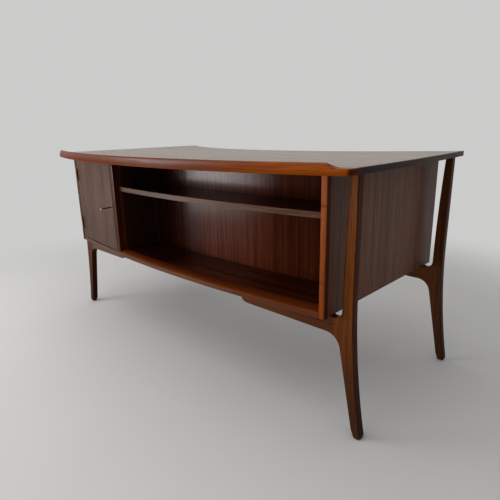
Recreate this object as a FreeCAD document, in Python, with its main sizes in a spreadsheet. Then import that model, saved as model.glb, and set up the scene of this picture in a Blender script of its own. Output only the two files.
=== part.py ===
"""Executive desk with a bowed, lipped top, a hanging carcass, a lockable cabinet, a bookcase and drawers.

Millimetres. X runs along the desk, Y from the visitor side to the user side, Z up. The origin is on the
floor under the middle of the desk. Left and right are as the visitor sees them.
"""
import FreeCAD, Part
import math
import os
import re

import Sketcher
from FreeCAD import Placement, Rotation, Vector

SIZES = {
    # Top
    "desk_height": 740,
    "top_thickness": 16,
    "top_front_width": 1505,
    "end_taper": 24.5,
    "top_end_depth": 762,
    "front_bow": 118,
    "rear_hollow": 225,
    "end_bow": 10,
    "edging_width": 8,
    # Raised lip along the visitor edge
    "lip_width": 36,
    "lip_rise": 13,
    "lip_crest": 6,
    "lip_nose_radius": 4,
    "lip_end_flat": 27,
    "lip_end_run": 30,
    "lip_end_share": 0.3,
    "lip_corner_radius": 16,
    # Carcass
    "end_overhang": 75.5,
    "carcass_setback": 31,
    "carcass_rear_setback": 80,
    "carcass_bow": 47,
    "carcass_floor": 350,
    "panel_thickness": 20,
    "base_thickness": 20,
    "base_edging_depth": 33,
    "base_nose_drop": 8,
    "base_under_bevel": 1,
    "front_drop": 3,
    "stile_depth": 14,
    "stile_round": 3,
    "kneehole_width": 560,
    "partition_proud": 4,
    # Bookcase
    "bookcase_depth": 190,
    "back_thickness": 8,
    "shelf_height": 622,
    "shelf_thickness": 17,
    "shelf_setback": 34,
    "shelf_bow": 60,
    "shelf_play": 0.3,
    "shelf_pin_radius": 3,
    "shelf_pin_reach": 10,
    "shelf_pin_inset": 60,
    "shelf_pin_spacing": 75,
    # Cabinet door
    "door_thickness": 20,
    "door_gap": 2,
    "hinge_gap": 3.4,
    "hinge_height": 54,
    "hinge_leaf_thickness": 1.5,
    "hinge_leaf_width": 24,
    "knuckle_radius": 3.5,
    "knuckle_clearance": 0.3,
    "hinge_pin_radius": 1.5,
    "hinge_running_clearance": 0.05,
    "upper_hinge_drop": 79,
    "lower_hinge_rise": 58,
    # Lock and key
    "lock_height": 538,
    "lock_inset": 23,
    "lock_case_length": 42,
    "lock_case_depth": 14,
    "lock_case_drop": 18,
    "lock_case_rise": 36,
    "lock_wall": 3,
    "bolt_rise": 11,
    "bolt_height": 12,
    "bolt_clearance": 0.4,
    "bolt_throw": 9,
    "strike_thickness": 1.5,
    "strike_border": 12,
    "strike_front_border": 3,
    "strike_rear_border": 6,
    "key_radius": 2.4,
    "key_clearance": 0.3,
    "key_reach": 28,
    "key_bow_radius": 9.5,
    "key_bow_eye": 5,
    "key_bow_thickness": 3,
    "key_bit_reach": 7.5,
    "key_bit_width": 5,
    "key_bit_thickness": 2,
    "escutcheon_radius": 6,
    "escutcheon_thickness": 1.2,
    # Legs and rails
    "side_gap": 25,
    "notch_radius": 24,
    "notch_depth": 9,
    "arm_width": 32,
    "arm_top_width": 22,
    "arm_lean": 12,
    "leg_thickness": 26,
    "leg_edge_radius": 4,
    "leg_bend_height": 225,
    "leg_bend_radius": 2200,
    "foot_splay": 41,
    "foot_width": 27,
    "foot_round": 10,
    "foot_tip_radius": 5,
    "foot_ball_radius": 9,
    "foot_shoulder_radius": 21,
    "foot_shoulder_height": 30,
    "rail_height": 57,
    "rail_end_radius": 28,
    "knee_offset": 14,
    "knee_radius": 45,
    "right_rail_length": 359,
    "left_rail_length": 290,
    "rear_rail_length": 92,
    "front_leg_inset": 51,
    "rear_leg_inset": 25,
    "joint_offset": 4,
    "finger_length": 9,
    # Screws and dowels
    "screw_radius": 2.5,
    "screw_head_radius": 5,
    "screw_head_height": 4,
    "screw_bite": 12,
    "screw_cover": 30,
    "screw_edge_distance": 40,
    "screw_end_distance": 70,
    "counterbore_clearance": 0.5,
    "dowel_radius": 4,
    "dowel_depth": 30,
    "dowel_bite": 9,
    # Drawers and their runners
    "drawer_setback": 32,
    "drawer_front_thickness": 18,
    "drawer_gap": 2,
    "drawer_side_thickness": 12,
    "drawer_bottom_thickness": 5,
    "drawer_play": 1.5,
    "drawer_box_lift": 8,
    "drawer_box_drop": 20,
    "drawer_rear_space": 15,
    "runner_height": 12,
    "runner_width": 7,
    "runner_rise": 45,
    "runner_clearance": 0.3,
    "runner_stop": 6,
    "pull_radius": 70,
    "pull_depth": 16,
}

DRAWER_LEVELS = ("low", "middle", "high")
HINGE_KNUCKLES = 3
FINGER_STEPS = 6
SWEEP_DEG = 70
QUARTER_TURN_DEG = 90
HALF_TURN_DEG = 180
# How near an edge must lie to a corner to be the one there
MATCH_TOLERANCE = 0.1
# Numbers that sketches give to the ends and centre of a line, and, below zero, to their own axes
POINT_KINDS = ("edge", "start", "end", "centre")
_, START_POINT, END_POINT, CENTRE_POINT = range(len(POINT_KINDS))
AXIS_KINDS = ("level", "upright")
ORIGIN, UPRIGHT_AXIS = (~index for index in range(len(AXIS_KINDS)))

# Formulas over the sizes above
DERIVED = {
    "overall_depth": "=front_bow + top_end_depth",
    "front_corner_y": "=front_bow - overall_depth / 2",
    "rear_corner_y": "=overall_depth / 2",
    "top_underside": "=desk_height - top_thickness",
    "lip_top": "=desk_height + lip_rise",
    "front_radius": "=((top_front_width / 2) ^ 2 + front_bow ^ 2) / (2 * front_bow)",
    "front_axis_y": "=front_radius - overall_depth / 2",
    "top_rear_width": "=top_front_width - 2 * end_taper",
    "rear_radius": "=((top_rear_width / 2) ^ 2 + rear_hollow ^ 2) / (2 * rear_hollow)",
    "rear_axis_y": "=rear_corner_y - rear_hollow + rear_radius",
    "end_chord": "=sqrt(end_taper ^ 2 + top_end_depth ^ 2)",
    "end_radius": "=((end_chord / 2) ^ 2 + end_bow ^ 2) / (2 * end_bow)",
    "end_rise": "=end_radius - end_bow",
    "end_axis_x": "=(top_front_width + top_rear_width) / 4 - end_rise * top_end_depth / end_chord",
    "end_axis_y": "=(front_corner_y + rear_corner_y) / 2 - end_rise * end_taper / end_chord",
    "lip_cove_radius": "=((lip_width - lip_crest) ^ 2 + lip_rise ^ 2) / (2 * lip_rise)",
    "lip_end_x": "=top_front_width / 2 - lip_end_flat",
    "lip_full_x": "=lip_end_x - lip_end_run",
    "lip_end_radius": "=(lip_end_run ^ 2 + lip_rise ^ 2) / (2 * lip_rise)",
    "carcass_half": "=top_front_width / 2 - end_overhang",
    "inner_half": "=carcass_half - panel_thickness",
    "carcass_front_y": "=front_corner_y + carcass_setback",
    "carcass_rear_y": "=rear_corner_y - carcass_rear_setback",
    "carcass_apex_y": "=carcass_front_y - carcass_bow",
    "carcass_radius": "=(carcass_half ^ 2 + carcass_bow ^ 2) / (2 * carcass_bow)",
    "carcass_axis_y": "=carcass_apex_y + carcass_radius",
    "base_top": "=carcass_floor + base_thickness",
    "base_face_top": "=base_top - base_nose_drop",
    "base_crown_radius": "=(base_edging_depth ^ 2 + base_nose_drop ^ 2) / (2 * base_nose_drop)",
    "front_bottom": "=carcass_floor - front_drop",
    "knee_half": "=kneehole_width / 2",
    "wall_half": "=knee_half + panel_thickness",
    "stile_front_y": "=carcass_axis_y - sqrt(carcass_radius ^ 2 - inner_half ^ 2)",
    "divider_front_y": "=carcass_axis_y - sqrt(carcass_radius ^ 2 - wall_half ^ 2)",
    "back_radius": "=carcass_radius - bookcase_depth",
    "back_rear_radius": "=back_radius - back_thickness",
    "shelf_apex_y": "=carcass_front_y + shelf_setback - shelf_bow",
    "shelf_radius": "=(inner_half ^ 2 + shelf_bow ^ 2) / (2 * shelf_bow)",
    "shelf_axis_y": "=shelf_apex_y + shelf_radius",
    "shelf_pin_y": "=stile_front_y + shelf_pin_inset",
    "shelf_pin_z": "=shelf_height - shelf_thickness - shelf_pin_radius",
    "door_left_x": "=hinge_gap - inner_half",
    "door_right_x": "=-wall_half - door_gap",
    "door_slope": "=(divider_front_y - stile_front_y) / (inner_half - wall_half)",
    "door_turn": "=atan(door_slope) / 1deg",
    "hinge_axis_x": "=hinge_gap / 2 - inner_half",
    "hinge_axis_y": "=stile_front_y - knuckle_radius - knuckle_clearance",
    "upper_hinge_z": "=top_underside - upper_hinge_drop",
    "lower_hinge_z": "=base_top + lower_hinge_rise",
    "lock_x": "=door_right_x - lock_inset",
    "bolt_low": "=lock_height + bolt_rise",
    "bolt_high": "=bolt_low + bolt_height",
    "bolt_near": "=door_thickness + lock_wall",
    "bolt_far": "=door_thickness + lock_case_depth - lock_wall",
    "key_cavity_radius": "=sqrt(key_bit_reach ^ 2 + key_bit_thickness ^ 2) + key_clearance",
    "arm_inner": "=carcass_half + side_gap",
    "arm_outer": "=arm_inner + arm_width",
    "notch_bottom": "=carcass_floor - notch_depth",
    "notch_top": "=notch_bottom + notch_radius",
    "notch_middle_x": "=arm_inner - notch_radius",
    "notch_left_x": "=notch_middle_x - sqrt(notch_radius ^ 2 - (notch_radius - notch_depth) ^ 2)",
    "arm_curve_radius": "=((top_underside - notch_top) ^ 2 + arm_lean ^ 2) / (2 * arm_lean)",
    "foot_outer": "=arm_outer + foot_splay",
    "foot_middle_x": "=foot_outer - foot_width / 2 - foot_ball_radius * foot_splay / leg_bend_height",
    "rail_bottom": "=carcass_floor - rail_height",
    "joint_x": "=carcass_half + joint_offset",
    "front_leg_y": "=carcass_front_y + front_leg_inset",
    "rear_leg_y": "=carcass_rear_y - rear_leg_inset",
    "arm_axis_x": "=arm_inner + arm_lean + arm_top_width / 2",
    "screw_head_z": "=rail_bottom + screw_cover",
    "drawer_radius": "=rear_radius + drawer_setback",
    "drawer_back_radius": "=drawer_radius + drawer_front_thickness",
    "partition_rear_y": "=rear_axis_y - sqrt(drawer_radius ^ 2 - wall_half ^ 2) + partition_proud",
    "drawer_pitch": f"=(top_underside - base_top - drawer_gap) / {len(DRAWER_LEVELS)}",
    "drawer_front_height": "=drawer_pitch - drawer_gap",
    "drawer_rear_y": "=carcass_axis_y - sqrt(back_rear_radius ^ 2 - inner_half ^ 2) + drawer_rear_space",
    "drawer_outer_x": "=inner_half - drawer_play",
    "drawer_inner_x": "=wall_half + drawer_play",
    "groove_reach": "=runner_width + runner_clearance",
}

doc = FreeCAD.newDocument("executive_desk")
sheet = doc.addObject("Spreadsheet::Sheet", "Sizes")
for row, (alias, content) in enumerate({**SIZES, **DERIVED}.items(), start=1):
    sheet.set(f"A{row}", alias)
    sheet.set(f"B{row}", str(content))
    sheet.setAlias(f"B{row}", alias)
doc.recompute()

ALIASES = re.compile(r"\b(" + "|".join([*SIZES, *DERIVED]) + r")\b")
pieces = []


def cells(expression):
    """The expression with every size in it pointed at the sheet."""
    return ALIASES.sub(r"Sizes.\1", expression)


def number(expression):
    """The value that an expression has now."""
    return float(sheet.evalExpression(cells(expression)))


def piece(label, shape_object):
    """Names a finished piece of the desk and keeps it for writing."""
    shape_object.Label = label
    pieces.append(shape_object)
    return shape_object


def place(item, x, y, z):
    """Binds where an object stands."""
    for axis, expression in zip("xyz", (x, y, z)):
        item.setExpression(f"Placement.Base.{axis}", cells(expression))


def board(name, x, y, z):
    """A board between a low and a high limit on each axis."""
    box = doc.addObject("Part::Box", name)
    for side, (low, high) in zip(("Length", "Width", "Height"), (x, y, z)):
        box.setExpression(side, cells(f"({high}) - ({low})"))
    place(box, x[0], y[0], z[0])
    return box


def disc(name, radius, centre, z, seam_turn=0):
    """An upright cylinder; the seam turn keeps its seam off the faces in use."""
    cylinder = doc.addObject("Part::Cylinder", name)
    cylinder.Placement = Placement(Vector(), Rotation(Vector(0, 0, 1), seam_turn))
    cylinder.setExpression("Radius", cells(radius))
    cylinder.setExpression("Height", cells(f"({z[1]}) - ({z[0]})"))
    place(cylinder, *centre, z[0])
    return cylinder


def rod(name, radius, x, y, z):
    """A cylinder along X between two limits."""
    cylinder = doc.addObject("Part::Cylinder", name)
    cylinder.Placement = Placement(Vector(), Rotation(Vector(0, 1, 0), QUARTER_TURN_DEG))
    cylinder.setExpression("Radius", cells(radius))
    cylinder.setExpression("Height", cells(f"({x[1]}) - ({x[0]})"))
    place(cylinder, x[0], y, z)
    return cylinder


def cut(name, base, *tools):
    """The base without the tools."""
    for step, tool in enumerate(tools, start=1):
        result = doc.addObject("Part::Cut", f"{name}_cut_{step}")
        result.Base = base
        result.Tool = tool
        base = result
    return base


def common(name, *shapes):
    """What all the shapes share."""
    result = doc.addObject("Part::MultiCommon", f"{name}_common")
    result.Shapes = list(shapes)
    return result


def fuse(name, *shapes):
    """The shapes joined into one solid."""
    result = doc.addObject("Part::MultiFuse", f"{name}_fuse")
    result.Shapes = list(shapes)
    return result


def group(name, *members):
    """Separate solids that belong together."""
    compound = doc.addObject("Part::Compound", f"{name}_group")
    compound.Links = list(members)
    return compound


def mirrored(name, source):
    """The same piece on the left."""
    mirror = doc.addObject("Part::Mirroring", f"{name}_mirror")
    mirror.Source = source
    mirror.Normal = Vector(1, 0, 0)
    return mirror


def arc_between(start, end, bend):
    """Arc from start to end, bulging right of the way for a positive bend and left for a negative one.

    Returns the arc and whether it runs backwards, from end to start.
    """
    chord = end - start
    radius = abs(bend)
    rise = math.sqrt(max(radius ** 2 - (chord.Length / 2) ** 2, 0))
    left = Vector(-chord.y, chord.x, 0).normalize()
    centre = (start + end) * 0.5 + left * math.copysign(rise, bend)
    first, last = (start, end) if bend > 0 else (end, start)
    angles = [math.atan2(point.y - centre.y, point.x - centre.x) for point in (first, last)]
    circle = Part.Circle(centre, Vector(0, 0, 1), radius)
    return Part.ArcOfCircle(circle, *angles), bend < 0


def outline(body, plane, corners):
    """A closed sketch on one of the body's planes, with each corner bound to the sheet.

    A corner is (across, up), or (across, up, bend) where an arc of that radius leads to the next corner.
    """
    sketch = body.newObject("Sketcher::SketchObject", f"{body.Name}_outline")
    support = next(feature for feature in body.Origin.OriginFeatures if feature.Role == plane)
    sketch.AttachmentSupport = [(support, "")]
    sketch.MapMode = "FlatFace"
    points = [Vector(number(across), number(up), 0) for across, up, *bend in corners]
    begins, ends = [], []
    for start, end, (across, up, *bend) in zip(points, points[1:] + points[:1], corners):
        if bend:
            side, backwards = arc_between(start, end, number(*bend))
        else:
            side, backwards = Part.LineSegment(start, end), False
        sketch.addGeometry(side, False)
        begins.append(END_POINT if backwards else START_POINT)
        ends.append(START_POINT if backwards else END_POINT)
    for index in range(len(corners)):
        before = (index or len(corners)) - 1
        sketch.addConstraint(Sketcher.Constraint("Coincident", before, ends[before], index, begins[index]))
    for index, ((across, up, *bend), point) in enumerate(zip(corners, points)):
        for kind, expression, value in (("DistanceX", across, point.x), ("DistanceY", up, point.y)):
            distance = Sketcher.Constraint(kind, ORIGIN, START_POINT, index, begins[index], value)
            bound = sketch.addConstraint(distance)
            sketch.setExpression(f"Constraints[{bound}]", cells(expression))
        if bend:
            radius = bend[0].lstrip("-")
            bound = sketch.addConstraint(Sketcher.Constraint("Radius", index, number(radius)))
            sketch.setExpression(f"Constraints[{bound}]", cells(radius))
    return sketch


def prism(name, corners, z):
    """A body with a plan outline, from one height to another."""
    body = doc.addObject("PartDesign::Body", name)
    pad = body.newObject("PartDesign::Pad", f"{name}_pad")
    pad.Profile = outline(body, "XY_Plane", corners)
    pad.setExpression("Length", cells(f"({z[1]}) - ({z[0]})"))
    place(body, "0", "0", z[0])
    return body


def slab(name, corners, y, thickness):
    """A body with a front outline, of a given thickness either side of a plane across Y."""
    body = doc.addObject("PartDesign::Body", name)
    pad = body.newObject("PartDesign::Pad", f"{name}_pad")
    pad.Profile = outline(body, "XZ_Plane", corners)
    pad.Midplane = True
    pad.setExpression("Length", cells(thickness))
    place(body, "0", y, "0")
    return body


def round_edges(body, radius, chosen):
    """Rounds the edges of the body's last feature that the test picks."""
    doc.recompute()
    base = body.Tip
    names = [f"Edge{index}" for index, edge in enumerate(base.Shape.Edges, start=1) if chosen(edge)]
    fillet = body.newObject("PartDesign::Fillet", f"{body.Name}_round")
    fillet.Base = (base, names)
    fillet.setExpression("Radius", cells(radius))


def rounded(name, base, radius, chosen):
    """The shape with the edges that the test picks rounded."""
    doc.recompute()
    fillet = doc.addObject("Part::Fillet", f"{name}_rounded")
    fillet.Base = base
    fillet.Edges = [(index, number(radius), number(radius))
                    for index, edge in enumerate(base.Shape.Edges, start=1) if chosen(edge)]
    return fillet


def across_at(x, z):
    """A test for the edge that runs along Y through a corner of a front outline."""
    spot = Vector(number(x), 0, number(z))

    def chosen(edge):
        middle = edge.CenterOfMass
        nearness = math.hypot(middle.x - spot.x, middle.z - spot.z)
        return edge.BoundBox.YLength > MATCH_TOLERANCE and nearness < MATCH_TOLERANCE

    return chosen


# The top: a panel framed by a solid lip in front and by thin edging on the ends and the rear
TOP_Z = ("top_underside", "desk_height")
LIP_Z = ("top_underside", "lip_top")
top_bounds = board(
    "top_bounds",
    ("-top_front_width", "top_front_width"),
    ("-overall_depth / 2", "overall_depth / 2"),
    LIP_Z,
)
front_field = disc("front_field", "front_radius - lip_width", ("0", "front_axis_y"), TOP_Z)
rear_hollow = disc("rear_hollow_edge", "rear_radius", ("0", "rear_axis_y"), TOP_Z)
rear_field = disc("rear_hollow_field", "rear_radius + edging_width", ("0", "rear_axis_y"), TOP_Z)
right_end = disc("right_end", "end_radius", ("end_axis_x", "end_axis_y"), LIP_Z, HALF_TURN_DEG)
right_field = disc("right_field", "end_radius - edging_width", ("end_axis_x", "end_axis_y"), TOP_Z,
                   HALF_TURN_DEG)
left_end = disc("left_end", "end_radius", ("-end_axis_x", "end_axis_y"), LIP_Z)
left_field = disc("left_field", "end_radius - edging_width", ("-end_axis_x", "end_axis_y"), TOP_Z)

whole_field = common("top_field", top_bounds, front_field, right_field, left_field)
top_blank = cut("top_field", whole_field, rear_field)
rear_strip = common("rear_strip", top_bounds, rear_field, right_field, left_field)
piece("rear_edging", cut("rear_strip", rear_strip, rear_hollow))
whole_end = common("right_strip", top_bounds, front_field, right_end)
right_strip = cut("right_strip", whole_end, right_field, rear_hollow)


def swept(name, corners, axis_y):
    """A section, drawn by its distance from an upright axis, swept about that axis along the bowed front."""
    body = doc.addObject("PartDesign::Body", name)
    revolution = body.newObject("PartDesign::Revolution", f"{name}_revolution")
    section = outline(body, "YZ_Plane", corners)
    section.setExpression("AttachmentOffset.Base.x", cells(axis_y))
    revolution.Profile = section
    revolution.ReferenceAxis = (section, ["V_Axis"])
    revolution.Angle = SWEEP_DEG
    revolution.Midplane = True
    return body


def lip_blank():
    """The lip before its ends are shaped: upright outside, coved down to the top on the inside."""
    corners = [
        ("-front_radius", "top_underside"),
        ("-front_radius", "lip_top - lip_nose_radius", "-lip_nose_radius"),
        ("lip_nose_radius - front_radius", "lip_top"),
        ("lip_crest - front_radius", "lip_top", "lip_cove_radius"),
        ("lip_width - front_radius", "desk_height"),
        ("lip_width - front_radius", "top_underside"),
    ]
    return swept("lip_blank", corners, "front_axis_y")


def lip_end_cutter():
    """What is carved off the lip's right end, so that it runs out in an S-curve to the flat top."""
    beyond = "lip_end_x + top_front_width"
    above = "lip_top + lip_rise"
    middle = ("lip_full_x + lip_end_share * lip_end_run", "lip_top - lip_end_share * lip_rise")
    corners = [
        ("lip_full_x", above),
        (beyond, above),
        (beyond, "desk_height"),
        ("lip_end_x", "desk_height", "-(1 - lip_end_share) * lip_end_radius"),
        (*middle, "lip_end_share * lip_end_radius"),
        ("lip_full_x", "lip_top"),
    ]
    return slab("lip_end_cutter", corners, "0", "2 * overall_depth")


def lip_corner(edge):
    """Whether an edge is an upright corner at the front of the lip's ends."""
    box = edge.BoundBox
    reach = max(abs(box.XMin), abs(box.XMax))
    upright = max(box.XLength, box.YLength) < MATCH_TOLERANCE
    return upright and abs(reach - number("top_front_width / 2")) < MATCH_TOLERANCE


lip_cutter = lip_end_cutter()
lip_strip = common("front_lip", lip_blank(), right_end, left_end)
shaped_lip = cut("front_lip", lip_strip, lip_cutter, mirrored("lip_cutter", lip_cutter))
piece("front_lip", rounded("front_lip", shaped_lip, "lip_corner_radius", lip_corner))


# Legs: each is an arm beside the carcass and a splayed leg, finger-jointed to a rail under the carcass
def leg_blank(name, y, rail_length):
    """A right leg and its rail in one outline, with a round notch between the arm and the carcass."""
    rail_end = f"joint_x - {rail_length}"
    knee = ("carcass_half + knee_offset", "rail_bottom")
    bend = ("arm_outer", "leg_bend_height")
    corners = [
        (rail_end, "carcass_floor"),
        ("notch_left_x", "carcass_floor", "notch_radius"),
        ("notch_middle_x", "notch_bottom", "notch_radius"),
        ("arm_inner", "notch_top", "-arm_curve_radius"),
        ("arm_inner + arm_lean", "top_underside"),
        ("arm_inner + arm_lean + arm_top_width", "top_underside"),
        bend,
        ("foot_outer", "0"),
        ("foot_outer - foot_width", "0"),
        knee,
        (rail_end, "rail_bottom"),
    ]
    body = slab(name, corners, y, "leg_thickness")
    round_edges(body, "knee_radius", across_at(*knee))
    round_edges(body, "leg_bend_radius", across_at(*bend))
    round_edges(body, "rail_end_radius", across_at(rail_end, "rail_bottom"))
    feet = [across_at("foot_outer", "0"), across_at("foot_outer - foot_width", "0")]
    round_edges(body, "foot_round", lambda edge: any(test(edge) for test in feet))
    seats = [number("top_underside"), number("carcass_floor")]

    def on_a_face(edge):
        box = edge.BoundBox
        seated = any(max(abs(box.ZMin - seat), abs(box.ZMax - seat)) < MATCH_TOLERANCE for seat in seats)
        upright_end = abs(box.XMax - number(rail_end)) < MATCH_TOLERANCE
        return box.YLength < MATCH_TOLERANCE and not seated and not upright_end

    round_edges(body, "leg_edge_radius", on_a_face)
    return body


def foot_form(name, y):
    """The side view of a leg with its foot rounded in front and behind."""
    front, rear = f"{y} - leg_thickness / 2", f"{y} + leg_thickness / 2"
    body = doc.addObject("PartDesign::Body", name)
    pad = body.newObject("PartDesign::Pad", f"{name}_pad")
    pad.Profile = outline(body, "YZ_Plane", [
        (front, "foot_round", "foot_round"),
        (f"{front} + foot_round", "0"),
        (f"{rear} - foot_round", "0", "foot_round"),
        (rear, "foot_round"),
        (rear, "desk_height"),
        (front, "desk_height"),
    ])
    pad.setExpression("Length", cells("foot_outer + foot_width"))
    return body


def foot_waste(name, y):
    """What is carved off a foot's corners, so that the leg ends in a round tip."""
    tip = doc.addObject("PartDesign::Body", f"{name}_tip")
    revolution = tip.newObject("PartDesign::Revolution", f"{name}_tip_revolution")
    revolution.Profile = outline(tip, "XZ_Plane", [
        ("0", "0"),
        ("foot_tip_radius", "0", "foot_ball_radius"),
        ("foot_tip_radius + foot_ball_radius", "foot_ball_radius"),
        ("foot_shoulder_radius", "foot_shoulder_height"),
        ("0", "foot_shoulder_height"),
    ])
    revolution.ReferenceAxis = (revolution.Profile[0], ["V_Axis"])
    revolution.Angle = 2 * HALF_TURN_DEG
    place(tip, "foot_middle_x", y, "0")
    reach = "(foot_shoulder_radius + foot_round)"
    x, y = ((f"{middle} - {reach}", f"{middle} + {reach}") for middle in ("foot_middle_x", y))
    block = board(f"{name}_block", x, y, ("0", "foot_shoulder_height"))
    return cut(name, block, tip)


def finger_comb(name, y):
    """Everything outside the zigzag finger joint between a rail and its leg."""
    step = f"(notch_bottom - rail_bottom) / {FINGER_STEPS}"
    fingers = [
        (f"joint_x {'+-'[index % 2]} finger_length / 2", f"notch_bottom - {index} * {step}")
        for index in range(FINGER_STEPS + 2)
    ]
    low, high, far = "-foot_round", "desk_height", "foot_outer + foot_width"
    corners = [("joint_x", high), *fingers, ("joint_x", low), (far, low), (far, high)]
    return slab(name, corners, y, "2 * leg_thickness")


def screw(name, x, y):
    """A countersunk rail screw with its head up inside the rail, and the bore below the head."""
    tip = "carcass_floor + screw_bite"
    head_top = "screw_head_z + screw_head_height"
    head = disc(f"{name}_head", "screw_head_radius", (x, y), ("screw_head_z", head_top))
    shank = disc(f"{name}_shank", "screw_radius", (x, y), (head_top, tip))
    bore = disc(f"{name}_bore", "screw_head_radius + counterbore_clearance", (x, y),
                ("rail_bottom - screw_cover", "screw_head_z"))
    return fuse(name, head, shank), bore


screws = {"front": [], "rear": []}
dowels = []
for end, leg_y, right_length, left_length, spots in (
    ("front", "front_leg_y", "right_rail_length", "left_rail_length",
     ("inner_half - screw_edge_distance", "joint_x - left_rail_length + screw_end_distance")),
    ("rear", "rear_leg_y", "rear_rail_length", "rear_rail_length", ("carcass_half - screw_edge_distance",)),
):
    right_blank = leg_blank(f"right_{end}_blank", leg_y, right_length)
    left_blank = leg_blank(f"left_{end}_blank", leg_y, left_length)
    comb = finger_comb(f"{end}_finger_comb", leg_y)
    made = [screw(f"{end}_screw_{index}", spot, leg_y) for index, spot in enumerate(spots, start=1)]
    screws[end] = [item for item, bore in made]
    dowel = disc(f"{end}_dowel", "dowel_radius", ("arm_axis_x", leg_y),
                 ("top_underside - dowel_depth", "top_underside + dowel_bite"))
    dowels.append(dowel)
    holes = [comb, *screws[end], *(bore for item, bore in made)]
    whole_leg = common(f"{end}_leg", right_blank, comb, foot_form(f"{end}_foot_form", leg_y))
    leg = cut(f"{end}_leg", whole_leg, dowel, foot_waste(f"{end}_foot_waste", leg_y))
    piece(f"right_{end}_leg", leg)
    piece(f"right_{end}_rail", cut(f"right_{end}_rail", right_blank, *holes))
    piece(f"left_{end}_leg", mirrored(f"{end}_leg", leg))
    piece(f"left_{end}_rail", mirrored(f"{end}_rail", cut(f"left_{end}_rail", left_blank, *holes)))

right_screws = group("right_screws", *screws["front"], *screws["rear"])
piece("rail_screws", group("rail_screws", right_screws, mirrored("left_screws", right_screws)))
right_dowels = group("right_dowels", *dowels)
left_dowels = mirrored("left_dowels", right_dowels)
piece("arm_dowels", group("arm_dowels", right_dowels, left_dowels))
piece("top_panel", cut("top_panel", top_blank, right_dowels, left_dowels))
right_end_edging = cut("right_end_edging", right_strip, right_dowels)
piece("right_end_edging", right_end_edging)
piece("left_end_edging", mirrored("left_end_edging", right_end_edging))


# Carcass: boards that follow one bowed front, with solid stiles and edging
BASE_Z = ("carcass_floor", "base_top")
WALL_Z = ("base_top", "top_underside")
SIDE_Z = ("carcass_floor", "top_underside")
STILE_Z = ("front_bottom", "top_underside")
FRONT_Y = ("carcass_apex_y", "carcass_rear_y")
CARCASS_AXIS = ("0", "carcass_axis_y")


def carcass_disc(name, radius):
    """One of the upright curved faces that run parallel to the bowed front."""
    return disc(name, radius, CARCASS_AXIS, SIDE_Z)


edging_face = carcass_disc("carcass_edging", "carcass_radius - base_edging_depth")
back_face = carcass_disc("bookcase_back_face", "back_radius")
back_rear_face = carcass_disc("bookcase_rear_face", "back_rear_radius")
drawer_face = disc("drawer_face", "drawer_radius", ("0", "rear_axis_y"), SIDE_Z)
drawer_rear_face = disc("drawer_rear_face", "drawer_back_radius", ("0", "rear_axis_y"), SIDE_Z)

base_bounds = board("base_bounds", ("-inner_half", "inner_half"), FRONT_Y, BASE_Z)
base_board = cut("base_board", common("base_board", base_bounds, edging_face), back_rear_face)
piece("bookcase_bottom", cut("bookcase_bottom", base_board, *screws["front"],
                             mirrored("front_screws", group("front_screws", *screws["front"]))))
bottom_nose = swept("bottom_nose", [
    ("base_edging_depth - carcass_radius", "carcass_floor"),
    ("stile_depth - carcass_radius", "carcass_floor"),
    ("stile_depth - carcass_radius", "front_bottom"),
    ("base_under_bevel - carcass_radius", "front_bottom"),
    ("-carcass_radius", "front_bottom + base_under_bevel"),
    ("-carcass_radius", "base_face_top", "-base_crown_radius"),
    ("base_edging_depth - carcass_radius", "base_top"),
], "carcass_axis_y")
edging_bounds = board("edging_bounds", ("-wall_half", "inner_half"), FRONT_Y, ("front_bottom", "base_top"))
bottom_edging = common("bottom_edging", edging_bounds, bottom_nose)
piece("bottom_edging", bottom_edging)
sill_bounds = board("sill_bounds", ("-inner_half", "-wall_half"), FRONT_Y, ("front_bottom", "base_face_top"))
piece("door_sill", common("door_sill", sill_bounds, bottom_nose))

pedestal_bounds = board("pedestal_bounds", ("knee_half", "inner_half"), FRONT_Y, BASE_Z)
pedestal_board = common("pedestal_bottom", pedestal_bounds, back_rear_face)
pedestal_bottom = cut("pedestal_bottom", pedestal_board, drawer_face, *screws["rear"])
piece("right_pedestal_bottom", pedestal_bottom)
piece("left_pedestal_bottom", mirrored("pedestal_bottom", pedestal_bottom))


def stile(name, x, y_front, depth, z):
    """A solid front edge with rounded arrises, between two faces across X."""
    rear = f"{y_front} + {depth}"
    nose = f"{y_front} + stile_round"
    corners = [
        (x[0], rear),
        (x[0], nose, "stile_round"),
        (f"{x[0]} + stile_round", y_front),
        (f"{x[1]} - stile_round", y_front, "stile_round"),
        (x[1], nose),
        (x[1], rear),
    ]
    return prism(name, corners, z)


right_stile = stile("side_stile", ("inner_half", "carcass_half"), "stile_front_y", "stile_depth", STILE_Z)
piece("right_stile", right_stile)
piece("left_stile", mirrored("left_stile", right_stile))

side_board = board("side_board", ("inner_half", "carcass_half"),
                   ("stile_front_y + stile_depth", "carcass_rear_y"), SIDE_Z)
shelf_pins = {
    side: [
        rod(f"shelf_pin_{side}_{index}", "shelf_pin_radius",
            (f"{face} - shelf_pin_reach", f"{face} + shelf_pin_reach"),
            f"shelf_pin_y + {index} * shelf_pin_spacing", "shelf_pin_z")
        for index in range(2)
    ]
    for side, face in (("left", "-knee_half"), ("right", "inner_half"))
}
piece("shelf_pins", group("shelf_pins", *shelf_pins["left"], *shelf_pins["right"]))
piece("right_side_panel", cut("right_side_panel", side_board, *shelf_pins["right"]))
piece("left_side_panel", mirrored("left_side_panel", side_board))

right_wall = board("right_wall", ("knee_half", "wall_half"), ("carcass_apex_y", "partition_rear_y"), WALL_Z)
piece("right_partition", common("right_partition", right_wall, back_rear_face))

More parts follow.
